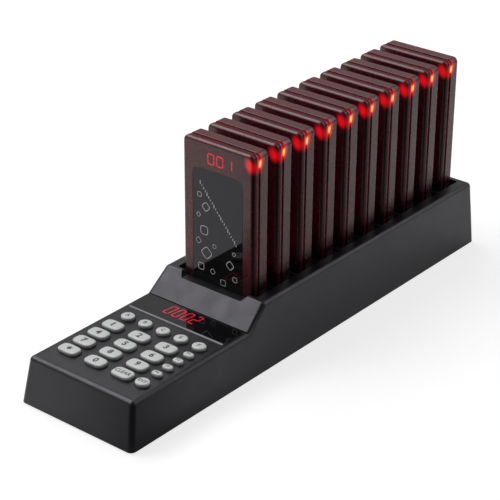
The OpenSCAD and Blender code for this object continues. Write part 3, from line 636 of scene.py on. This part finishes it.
def make_lens():
    """The display lens: a polished slab with a wide bevel along its front edge."""
    size = lens_high - lens_low
    front_bevel = 0.9 * MM
    bm = rounded_slab(size.x, size.y, size.z, 0.5 * MM, 4)
    front = [
        edge for edge in bm.edges
        if all(vert.co.z > 0.9 * size.z and vert.co.y < 0.45 * -size.y for vert in edge.verts)
    ]
    bevel_edges(bm, front, front_bevel, 1)
    middle = node_centre("display_lens")
    move(bm, (middle.x, middle.y, lens_low.z))
    panel = settle(bm, "lens_panel", "base", [finish_lens], ["display_lens"], math.radians(20))
    return soften(panel, 0.15 * MM, 2, 25.0)


def make_readout():
    """The lit number of the display, laid in the lens's upper face."""
    width, height, pitch, stroke = 4.6 * MM, 10.2 * MM, 6.65 * MM, 0.78 * MM
    thickness, sunk, slant = 0.05 * MM, 0.02 * MM, 0.12
    module_middle = node_centre("display_module")
    bm = bar_digits("0002", width, height, pitch, stroke, thickness, slant)
    shift = (module_middle.x - 1.5 * pitch, module_middle.y + 0.3 * MM, lens_high.z - sunk)
    move(bm, shift)
    return settle(bm, "readout_number", "base", [finish_readout])


make_lens()
make_readout()


# ---- Keys ----

WIDE_POWER, LETTER_POWER, FUNCTION_POWER = 3.6, 2.0, 2.7
FUNCTION_KEYS = ("f1", "f2", "f3", "f4")
# Each key's legend, its height and its boldness, in mm. 1, 4 and 7 are bolder
KEY_LEGENDS = {digit: (digit, 4.6, 0.32 if digit in "147" else 0.21) for digit in "1234567890"}
KEY_LEGENDS.update({"star": ("*", 4.0, 0.0), "clear": ("CLEAR", 3.1, 0.06)})
KEY_LEGENDS.update({letter: (letter.upper(), 2.8, 0.06) for letter in "abcef"})
KEY_LEGENDS.update({key: (key.upper(), 2.1, 0.04) for key in FUNCTION_KEYS})
KEY_LEGENDS["enter"] = ("ENT", 2.3, 0.04)
KEY_FLANGE = 0.7 * MM
KEY_FLANGE_TOP = 1.4 * MM
KEY_EDGE = 0.8 * MM
KEY_CROWN = 0.16 * MM
# How the crown's height is shared out, from its foot up
CROWN_SHARES = (0.55, 0.3, 0.15)
LEGEND_T = 0.08 * MM
# How far a legend's middle lies under the key's surface
LEGEND_SUNK = 0.45 * LEGEND_T - 0.03 * MM
# The font's size for a legend of height 1, which is then scaled to its exact height
FONT_SIZE = 1.4
CLEAR_NARROWNESS = 0.9


def key_power(key):
    """The power of a key's outline: 2 is an ellipse, and a higher one is squarer."""
    if key in FUNCTION_KEYS:
        return FUNCTION_POWER
    return LETTER_POWER if key in ("a", "b", "c", "e", "f", "enter") else WIDE_POWER


def narrow(bm, face, half, inward, rise):
    """Extrudes an oval face and draws it in. Gives the new face and its half sizes."""
    face = pull(bm, face, rise)
    narrower = (half[0] - inward, half[1] - inward)
    bmesh.ops.scale(bm, vec=(narrower[0] / half[0], narrower[1] / half[1], 1), verts=face.verts)
    return face, narrower


def star_mark(size, stroke, thickness):
    """Three crossing bars, centred on the origin."""
    bm = bmesh.new()
    for turn in (30, 90, 150):
        bar = lit_bar(size, stroke, thickness)
        move(bar, (0, 0, -thickness / 2))
        turn_flat(bar, turn)
        join_in(bm, bar)
    return bm


def slice_up(bm, step):
    """Cuts lettering into small squares, so that it can follow a crowned top."""
    for axis in (0, 1):
        count = math.ceil(max(vert.co[axis] for vert in bm.verts) / step)
        for index in range(-count, count):
            place, normal = [0.0, 0.0, 0.0], [0.0, 0.0, 0.0]
            place[axis] = (index + 0.5) * step
            normal[axis] = 1.0
            geometry = bm.verts[:] + bm.edges[:] + bm.faces[:]
            bmesh.ops.bisect_plane(bm, geom=geometry, plane_co=place, plane_no=normal)


def make_cap(key, low, high):
    """A key cap: flange under the overlay, upright side, rounded edge, low crown."""
    half = ((high.x - low.x) / 2, (high.y - low.y) / 2)
    bm = oval_slab(half[0], half[1], KEY_FLANGE_TOP, key_power(key))
    top = face_towards(bm, Vector((0, 0, 1)))
    top, half = narrow(bm, top, half, KEY_FLANGE, 0.0)
    top = pull(bm, top, high.z - low.z - KEY_FLANGE_TOP - KEY_EDGE - KEY_CROWN)
    for inward, up in quarter_round(KEY_EDGE):
        top, half = narrow(bm, top, half, inward, up)
    for share in CROWN_SHARES:
        top, half = narrow(bm, top, half, 0.3 * half[1], share * KEY_CROWN)
    move(bm, ((low.x + high.x) / 2, (low.y + high.y) / 2, low.z))
    return bm


def make_legend(key, middle, surface):
    """A key's legend, laid on the cap's crowned surface."""
    text, height, boldness = KEY_LEGENDS[key]
    height *= MM
    if key == "star":
        mark = star_mark(height, 0.8 * MM, LEGEND_T)
    else:
        narrowness = CLEAR_NARROWNESS if key == "clear" else 1.0
        mark = lettering(text, height * FONT_SIZE, boldness * MM, LEGEND_T, narrowness)
    grow = height / (max(v.co.y for v in mark.verts) - min(v.co.y for v in mark.verts))
    stretch(mark, (grow, grow, 1))
    slice_up(mark, 0.4 * MM)
    for vert in mark.verts:
        above = Vector((middle.x + vert.co.x, middle.y + vert.co.y, middle.z + 10 * MM))
        hit = surface.ray_cast(above, Vector((0, 0, -1)))[0]
        vert.co = Vector((above.x, above.y, hit.z + vert.co.z - LEGEND_SUNK))
    return mark


def make_key(key):
    """A key's cap and legend."""
    node = "key_" + key
    body = node + "_cap"
    cap = make_cap(key, *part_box(node))
    surface = BVHTree.FromBMesh(cap)
    settle(cap, node + "_top", body, [finish_key], [node], math.radians(50))
    legend = make_legend(key, node_centre(node), surface)
    settle(legend, node + "_legend", body, [finish_legend])


for key in KEY_LEGENDS:
    make_key(key)


# ---- Pagers ----

PAGER_W = pager_high.x - pager_low.x
PAGER_H = pager_high.z - pager_low.z
PAGER_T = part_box("pager_1_rear_shell")[1].y - pager_low.y
FRONT_T = pager_high.y - pager_low.y
# Radii of the shells' corners, of the front's edge and of the back's edge
PAGER_R = 3.4 * MM
FRONT_EDGE_R = 1.9 * MM
BACK_EDGE_R = 1.1 * MM
SEAM_T = 2.4 * MM
SEAM_DEPTH = 0.8 * MM
SHELL_WALL = 1.5 * MM
WINDOW_T = 1.4 * MM
LABEL_DEPTH = 0.5 * MM
label_low, label_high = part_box("pager_1_label")
label_middle = node_centre("pager_1_label")
pager_middle_z = (pager_low.z + pager_high.z) / 2

# Stands a flat piece up: its Y becomes height and its top face looks forward
STAND = Matrix.Rotation(math.radians(90), 4, "X")


def stand_up(bm, x, front_y, z):
    """Stands a flat piece up with its z 0 plane at front_y."""
    bmesh.ops.transform(bm, matrix=Matrix.Translation((x, front_y, z)) @ STAND, verts=bm.verts)
    return bm


def front_shell():
    """The front shell, with its rounded rim, label recess and open back."""
    edge = 0.3 * MM
    rim = 1.4 * MM
    gap = 0.22 * MM
    recess_r = 2.5 * MM
    lip = 0.12 * MM
    bm = rounded_slab(PAGER_W, PAGER_H, FRONT_T - FRONT_EDGE_R - edge, PAGER_R)
    move(bm, (0, 0, edge - FRONT_T))
    top = face_towards(bm, Vector((0, 0, 1)))
    back = face_towards(bm, Vector((0, 0, -1)))
    round_off(bm, top, FRONT_EDGE_R)
    inset(bm, top, rim)
    left = FRONT_EDGE_R + rim
    old = (PAGER_W - 2 * left, PAGER_H - 2 * left, PAGER_R - left)
    recess = (label_high.x - label_low.x + 2 * gap, label_high.z - label_low.z + 2 * gap, recess_r)
    reshape_outline(top, old, recess, (label_middle.x, label_middle.z - pager_middle_z))
    round_off(bm, top, lip, 2, -1.0)
    pull(bm, top, -(LABEL_DEPTH - lip))
    round_off(bm, back, edge, 3)
    inset(bm, back, SEAM_DEPTH + SHELL_WALL - edge)
    pull(bm, back, -(FRONT_T - WINDOW_T))
    return bm


def rear_shell():
    """The rear shell: seam band, stepped edge, upright side, rounded back, hollow inside."""
    edge = 0.35 * MM
    joint = 0.05 * MM
    body_t = PAGER_T - FRONT_T - SEAM_T
    bm = rounded_slab(PAGER_W, PAGER_H, body_t - BACK_EDGE_R - edge, PAGER_R)
    move(bm, (0, 0, -PAGER_T + BACK_EDGE_R))
    back = face_towards(bm, Vector((0, 0, -1)))
    round_off(bm, back, BACK_EDGE_R)
    inset(bm, back, 0.6 * MM)
    front = face_towards(bm, Vector((0, 0, 1)))
    round_off(bm, front, edge, 3)
    inset(bm, front, SEAM_DEPTH - edge)
    # A fine bead along the seam, where the red insert shows
    bead_t, bead_top, bead_rise, bead_slope = 1.2 * MM, 0.6 * MM, 0.25 * MM, 0.2 * MM
    front = pull(bm, front, SEAM_T - bead_t)
    inset(bm, front, -bead_rise, bead_slope)
    front = pull(bm, front, bead_top)
    inset(bm, front, bead_rise, bead_slope)
    front = pull(bm, front, bead_t - bead_top - 2 * bead_slope - joint)
    inset(bm, front, SHELL_WALL)
    pull(bm, front, -(PAGER_T - SHELL_WALL - FRONT_T - joint))
    return bm


def cut(piece, cutter_bm):
    """Cuts holes in a loose mesh with a cutter, and gives the new mesh."""
    cutter_mesh = bpy.data.meshes.new("cutter")
    cutter_bm.to_mesh(cutter_mesh)
    cutter_bm.free()
    cutter = bpy.data.objects.new("cutter", cutter_mesh)
    holder = bpy.data.objects.new("holder", piece)
    for thing in (cutter, holder):
        collection.objects.link(thing)
    step = holder.modifiers.new("holes", "BOOLEAN")
    step.object = cutter
    step.solver = "EXACT"
    bpy.context.view_layer.update()
    made = bpy.data.meshes.new_from_object(holder.evaluated_get(bpy.context.evaluated_depsgraph_get()))
    for thing in (cutter, holder):
        bpy.data.objects.remove(thing)
    return made


def holes_cutter():
    """Four countersunk screw holes in the back and two contact openings below."""
    bm = bmesh.new()
    screws_low, screws_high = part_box("pager_1_screws")
    screw_r = 1.8 * MM
    head_r = 1.9 * MM
    head_l = 0.8 * MM
    shank_r = 1.15 * MM
    for x in (screws_low.x + screw_r, screws_high.x - screw_r):
        for z in (screws_low.z + screw_r, screws_high.z - screw_r):
            for low_r, high_r, start, length in (
                (head_r - head_l, head_r, -head_l, head_l),
                (head_r, head_r, 0.0, MM),
                (shank_r, shank_r, -2.5 * MM, 2.0 * MM),
            ):
                made = bmesh.new()
                bmesh.ops.create_cone(
                    made, cap_ends=True, segments=24, radius1=low_r, radius2=high_r, depth=length
                )
                move(made, (0, 0, start + length / 2))
                turn = Matrix.Rotation(math.radians(-90), 4, "X")
                shift = Matrix.Translation((x, pager_front_y + PAGER_T, z))
                bmesh.ops.transform(made, matrix=shift @ turn, verts=made.verts)
                join_in(bm, made)
    contacts_low, contacts_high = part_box("pager_1_contacts")
    pad_w, pad_l, pad_half = 5.1 * MM, 4.1 * MM, 2.5 * MM
    for x in (contacts_low.x + pad_half, contacts_high.x - pad_half):
        made = block(pad_w, pad_l, 4 * MM)
        move(made, (x, contacts_low.y + 2 * MM, contacts_low.z + MM))
        join_in(bm, made)
    return bm


def loose_mesh(bm, name):
    """A bmesh as a mesh that is in no piece yet."""
    mesh = bpy.data.meshes.new(name)
    bm.to_mesh(mesh)
    bm.free()
    return mesh


def label_panel():
    """The polished panel that lies in the front shell's recess."""
    width, height = label_high.x - label_low.x, label_high.z - label_low.z
    thickness = label_high.y - label_low.y
    edge = 0.12 * MM
    corner = 2.45 * MM
    bm = rounded_slab(width, height, thickness - edge, corner)
    move(bm, (0, 0, -thickness))
    round_off(bm, face_towards(bm, Vector((0, 0, 1))), edge, 2)
    return stand_up(bm, label_middle.x, label_low.y, label_middle.z)


# The label's squares: (x, height above the label's foot, radius, stroke) in mm, turn in degrees
PRINTED_SQUARES = [
    (-14.2, 62.5, 2.3, 0.34, 45), (-9.2, 55.5, 3.6, 0.42, 0), (-15.0, 49.0, 2.0, 0.34, 0),
    (-10.6, 39.5, 4.2, 0.45, 45), (-15.2, 31.5, 2.6, 0.34, 0), (-8.8, 24.8, 4.9, 0.5, 0),
    (-2.6, 31.0, 1.9, 0.3, 45), (-13.2, 14.5, 3.4, 0.42, 45), (-4.0, 13.5, 2.4, 0.34, 0),
    (9.6, 22.0, 3.6, 0.42, 0), (13.4, 13.6, 2.5, 0.36, 45), (12.8, 30.6, 1.7, 0.3, 0),
    (4.2, 8.6, 3.0, 0.36, 45),
]


def printed_square(radius, stroke, turn, thickness):
    """A thin square outline with slightly rounded corners, around the origin."""
    bm = disc(4, radius)
    turn_flat(bm, turn)
    corners = bm.verts[:]
    bmesh.ops.bevel(
        bm, geom=corners, offset=0.38 * radius, segments=3, profile=0.5, affect="VERTICES", material=-1
    )
    face = face_up(bm)
    inset(bm, face, stroke)
    bmesh.ops.delete(bm, geom=[face], context="FACES")
    extrude_up(bm, bm.faces[:], thickness)
    return bm


def label_print():
    """Generic white print: outlined squares and diamonds, and a slanting row of ticks."""
    bm = bmesh.new()
    foot = label_low.z
    proud = 0.03 * MM
    for x, up, radius, stroke, turn in PRINTED_SQUARES:
        made = printed_square(radius * MM, stroke * MM, turn, proud)
        join_in(bm, stand_up(made, x * MM, label_low.y, foot + up * MM))
    tick_count = 22
    tick_w, short_tick, long_tick = 0.62, 1.3, 2.3
    first_x, first_up = -13.5, 70.5
    run, fall = 28.0, 33.5
    for index in range(tick_count):
        share = index / (tick_count - 1)
        tick_l = long_tick if index % 4 == 0 else short_tick
        made = block(tick_w * MM, tick_l * MM, 2 * proud)
        x = first_x + run * share
        up = first_up - fall * share
        join_in(bm, stand_up(made, x * MM, label_low.y, foot + up * MM))
    return bm


def pager_number(number):
    """The three lit digits on the top of the front shell's face."""
    width, height, pitch, stroke, thickness = 5.4 * MM, 7.2 * MM, 6.85 * MM, 0.8 * MM, 0.03 * MM
    bm = bar_digits(f"{number:03d}", width, height, pitch, stroke, thickness)
    middle = node_centre("pager_1_display")
    return stand_up(bm, middle.x - pitch, pager_front_y, middle.z)


# What is inside a pager: node, finish
WORKS = [
    ("pager_1_display", finish_module), ("pager_1_light", finish_call_light),
    ("pager_1_board", finish_board), ("pager_1_battery", finish_foil),
    ("pager_1_motor", finish_steel), ("pager_1_contacts", finish_gold), ("pager_1_screws", finish_steel),
]


def pager_works():
    """A copy of the first pager's inner pieces, as one mesh."""
    bm = bmesh.new()
    for index, (node, _) in enumerate(WORKS):
        made = merged_copy(node)
        for face in made.faces:
            face.material_index = index
        join_in(bm, made)
    return bm


pager_parts = {
    "front": loose_mesh(stand_up(front_shell(), 0, pager_front_y, pager_middle_z), "front"),
    "rear": cut(
        loose_mesh(stand_up(rear_shell(), 0, pager_front_y, pager_middle_z), "rear"), holes_cutter()
    ),
    "label": loose_mesh(label_panel(), "label"),
    "print": loose_mesh(label_print(), "print"),
    "works": loose_mesh(pager_works(), "works"),
}


def stamp(part, number):
    """A copy of a pager part's mesh, at that pager's place."""
    mesh = pager_parts[part].copy()
    mesh.name = f"pager_{number}_{part}"
    mesh.transform(Matrix.Translation((0, (number - 1) * pager_pitch, 0)))
    return mesh


# A pager part's piece, finish and slot, and the first pager's node that it stands for
PAGER_LOOKS = {
    "front": ("front", finish_case, "pager_case", ["pager_1_front_shell"]),
    "rear": ("rear", finish_case, "pager_case", ["pager_1_rear_shell"]),
    "label": ("label_panel", finish_label, "label_gloss", ["pager_1_label"]),
    "print": ("label_print", finish_ink, "label_gloss", []),
}


def make_pager(number):
    """A pager. From the second on, its front stands for the one CAD node of the whole pager."""
    first = number == 1
    body = "pager_1" if first else f"pager_{number}_unit"
    name = f"pager_{number}_"
    for part, (ending, finish, slot, replaced) in PAGER_LOOKS.items():
        if not first:
            replaced = [f"pager_{number}"] if part == "front" else []
        settle_mesh(stamp(part, number), name + ending, body, [finish], replaced)
    digits = pager_number(number)
    move(digits, (0, (number - 1) * pager_pitch, 0))
    settle(digits, name + "number", body, [finish_digit])
    if not first:
        finishes = [finish for _, finish in WORKS]
        settle_mesh(stamp("works", number), name + "works", body, finishes)


for number in range(1, PAGER_COUNT + 1):
    make_pager(number)


# ---- Feet, inlet and what is inside ----


def make_foot(radius, height):
    """A rubber foot, sole up, with a rounded rim and a ring moulded in the sole."""
    rim, ring_margin, ring_width = 0.4 * MM, 1.4 * MM, 0.9 * MM
    ring_side, ring_depth = 0.15 * MM, 0.3 * MM
    foot = disc(40, radius)
    extrude_up(foot, [face_up(foot)], height - rim)
    sole = face_towards(foot, Vector((0, 0, 1)))
    round_off(foot, sole, rim, 4)
    inset(foot, sole, ring_margin)
    inset(foot, sole, ring_side, -ring_depth)
    inset(foot, sole, ring_width)
    inset(foot, sole, ring_side, ring_depth)
    return foot


def make_feet():
    """Six rubber feet."""
    low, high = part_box("rubber_feet")
    radius = 6.0 * MM
    turn = Matrix.Rotation(math.radians(180), 4, "X")
    bm = bmesh.new()
    for x in (low.x + radius, high.x - radius):
        for y in (low.y + radius, (low.y + high.y) / 2, high.y - radius):
            foot = make_foot(radius, high.z - low.z)
            place = Matrix.Translation((x, y, high.z)) @ turn
            bmesh.ops.transform(foot, matrix=place, verts=foot.verts)
            join_in(bm, foot)
    settle(bm, "rubber_soles", "base", [finish_rubber], ["rubber_feet"])


def make_inlet():
    """The power inlet: its moulding, the spring sleeve in its bore, and its pin."""
    make_moulding("dc_jack", "inlet_moulding", finish_inlet, "black_plastic", 0.15, 2)
    low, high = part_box("dc_jack")
    bore_floor, bore_r = 2.0 * MM, 2.8 * MM
    bore_z = low.z + bore_floor + bore_r
    turn = Matrix.Rotation(math.radians(-90), 4, "X")
    pin_r, pin_l, pin_back = 1.04 * MM, 8.2 * MM, 1.6 * MM
    pin = bmesh.new()
    bmesh.ops.create_cone(pin, cap_ends=True, segments=24, radius1=pin_r, radius2=pin_r, depth=pin_l)
    round_off(pin, face_towards(pin, Vector((0, 0, 1))), 0.6 * MM, 4)
    place = Matrix.Translation((0, high.y - pin_back - pin_l / 2, bore_z)) @ turn
    bmesh.ops.transform(pin, matrix=place, verts=pin.verts)
    settle(pin, "inlet_pin", "base", [finish_steel])
    sleeve_r, sleeve_wall, sleeve_l, sleeve_back = 2.795 * MM, 0.25 * MM, 7.5 * MM, 9.2 * MM
    sleeve = disc(40, sleeve_r)
    ring = face_up(sleeve)
    inset(sleeve, ring, sleeve_wall)
    bmesh.ops.delete(sleeve, geom=[ring], context="FACES")
    extrude_up(sleeve, sleeve.faces[:], sleeve_l)
    place = Matrix.Translation((0, high.y - sleeve_back, bore_z)) @ turn
    bmesh.ops.transform(sleeve, matrix=place, verts=sleeve.verts)
    settle(sleeve, "inlet_sleeve", "base", [finish_can])


make_feet()
make_inlet()

NODE_FINISHES = {
    "display_module": finish_module, "main_board": finish_board, "dome_sheet": finish_silicone,
    "radio_module": finish_can, "antenna": finish_sleeve, "link_cable": finish_cable,
    "charge_board": finish_board, "charge_contacts": finish_gold,
    "cover_screws": finish_steel, "board_screws": finish_steel,
}
NODE_FINISHES.update(WORKS)
for node, finish in NODE_FINISHES.items():
    mesh = nodes[node].data
    mesh.materials.clear()
    mesh.materials.append(finish)


for piece in pieces:
    shading = piece.modifiers.new("even_shading", "WEIGHTED_NORMAL")
    shading.keep_sharp = True


# ---- Studio ----

# The dark side of the studio, where the photographer stands
DARK_SIDE = Vector((0.632, -0.775, 0.0))
# The strength of the even light on matt surfaces
AIR_LIGHT = 0.14
FLOOR_TONE = 0.85
# The floor's own glow, for the camera and in reflections
FLOOR_GLOW, FLOOR_MIRRORED = 0.76, 0.28


def set_world():
    """Even light, a white surround for reflections, and a dark gap at the front right."""
    world = bpy.data.worlds.new("studio_air")
    bpy.context.scene.world = world
    world.use_nodes = True
    tree = world.node_tree
    ray = add(tree, "ShaderNodeLightPath", {}).outputs
    direction = add(tree, "ShaderNodeTexCoord", {}).outputs["Generated"]
    level = vector_math(tree, "MULTIPLY", direction, (1.0, 1.0, 0.0))[0]
    level = vector_math(tree, "NORMALIZE", level)[0]
    aimed = vector_math(tree, "DOT_PRODUCT", level, DARK_SIDE)["Value"]
    surround = between(tree, aimed, 0.45, 0.02, 0.3, 0.85, smooth=True)
    seen = reckon(tree, "MAXIMUM", ray["Is Camera Ray"], ray["Is Transmission Ray"])
    mirrored = product(tree, ray["Is Glossy Ray"], surround)
    diffuse = reckon(tree, "SUBTRACT", 1.0, reckon(tree, "MAXIMUM", seen, ray["Is Glossy Ray"]))
    strength = reckon(tree, "ADD", seen, mirrored)
    strength = reckon(tree, "ADD", strength, product(tree, diffuse, AIR_LIGHT))
    background = tree.nodes["Background"]
    feed(background, "Color", (1.0, 1.0, 1.0, 1.0))
    feed(background, "Strength", strength)


def make_floor():
    """A pale floor that keeps the object's soft shadow."""
    bm = bmesh.new()
    bmesh.ops.create_grid(bm, x_segments=1, y_segments=1, size=3.0)
    mesh = loose_mesh(bm, "pale_floor")
    finish = bpy.data.materials.new("pale_floor")
    finish.use_nodes = True
    tree = finish.node_tree
    tree.nodes.clear()
    ray = add(tree, "ShaderNodeLightPath", {}).outputs
    place = add(tree, "ShaderNodeTexCoord", {}).outputs["Object"]
    # Reflections show the floor pale, and dark on the camera's side of the base's front right corner
    corner = Vector((0.044, -0.17, 0.0))
    edge_normal = Vector((0.766, -0.643, 0.0))
    away = vector_math(tree, "SUBTRACT", place, corner)[0]
    away = vector_math(tree, "DOT_PRODUCT", away, edge_normal)["Value"]
    pale = between(tree, away, FLOOR_TONE, 0.02, -0.06, 0.04, smooth=True)
    lost = product(tree, ray["Is Glossy Ray"], reckon(tree, "SUBTRACT", FLOOR_TONE, pale))
    tone = reckon(tree, "SUBTRACT", FLOOR_TONE, lost)
    tone = reckon(tree, "SUBTRACT", tone, product(tree, ray["Is Camera Ray"], 0.5))
    shade = add(tree, "ShaderNodeCombineColor", {0: tone, 1: tone, 2: tone}).outputs[0]
    diffuse = add(tree, "ShaderNodeBsdfDiffuse", {"Color": shade})
    seen = reckon(tree, "MAXIMUM", ray["Is Camera Ray"], ray["Is Transmission Ray"])
    mirrored = product(tree, ray["Is Glossy Ray"], pale, FLOOR_MIRRORED)
    strength = reckon(tree, "MULTIPLY_ADD", seen, FLOOR_GLOW, mirrored)
    glow = add(tree, "ShaderNodeEmission", {"Strength": strength})
    both = add(tree, "ShaderNodeAddShader", {0: diffuse.outputs[0], 1: glow.outputs[0]})
    output = add(tree, "ShaderNodeOutputMaterial", {"Surface": both.outputs[0]})
    output.is_active_output = True
    mesh.materials.append(finish)
    floor = bpy.data.objects.new("pale_floor", mesh)
    collection.objects.link(floor)


def add_softbox(name, direction, along, distance, width, length, radiance):
    """A rectangular studio light that looks at the object, its length lying along a direction."""
    light = bpy.data.lights.new(name, "AREA")
    light.shape = "RECTANGLE"
    light.size = width
    light.size_y = length
    light.energy = radiance * math.pi * width * length
    holder = bpy.data.objects.new(name, light)
    back = Vector(direction).normalized()
    across = Vector(along).cross(back).normalized()
    place = Matrix((across, back.cross(across), back)).transposed().to_4x4()
    place.translation = back * distance
    holder.matrix_world = place
    holder.visible_camera = False
    collection.objects.link(holder)
    return holder


def set_camera():
    """The photograph's viewpoint: turned 39.2 degrees to the right, 26.9 above the table."""
    turn, lift, roll = math.radians(39.203), math.radians(26.899), math.radians(0.359)
    back = Vector((math.sin(turn) * math.cos(lift), -math.cos(turn) * math.cos(lift), math.sin(lift)))
    right = Vector((math.cos(turn), math.sin(turn), 0.0))
    up = back.cross(right)
    across = math.cos(roll) * right + math.sin(roll) * up
    upwards = -math.sin(roll) * right + math.cos(roll) * up
    lens = bpy.data.cameras.new("camera")
    lens.lens = 126.45
    lens.sensor_width = 36.0
    lens.clip_start, lens.clip_end = 0.01, 20.0
    camera = bpy.data.objects.new("camera", lens)
    place = Matrix((across, upwards, back)).transposed().to_4x4()
    place.translation = Vector((0.610589, -0.765620, 0.543248))
    camera.matrix_world = place
    collection.objects.link(camera)
    bpy.context.scene.camera = camera


set_world()
make_floor()
add_softbox(
    "front_softbox", direction=(-0.555, -0.105, 0.825), along=(0.0, -0.957, -0.291),
    distance=1.26, width=0.55, length=1.45, radiance=3.8
)
fill = add_softbox(
    "fill_softbox", direction=(-0.45, 0.0, 0.89), along=(0.0, 1.0, 0.0),
    distance=1.4, width=0.7, length=1.2, radiance=2.4
)
# The fill light lights matt surfaces only, and no reflection shows it
fill.visible_glossy = False
add_softbox(
    "back_softbox", direction=(0.41, 0.69, 0.60), along=(0.78, 0.0, -0.626),
    distance=1.4, width=0.4, length=1.1, radiance=1.7
)
set_camera()
bpy.context.scene.view_settings.view_transform = "Standard"
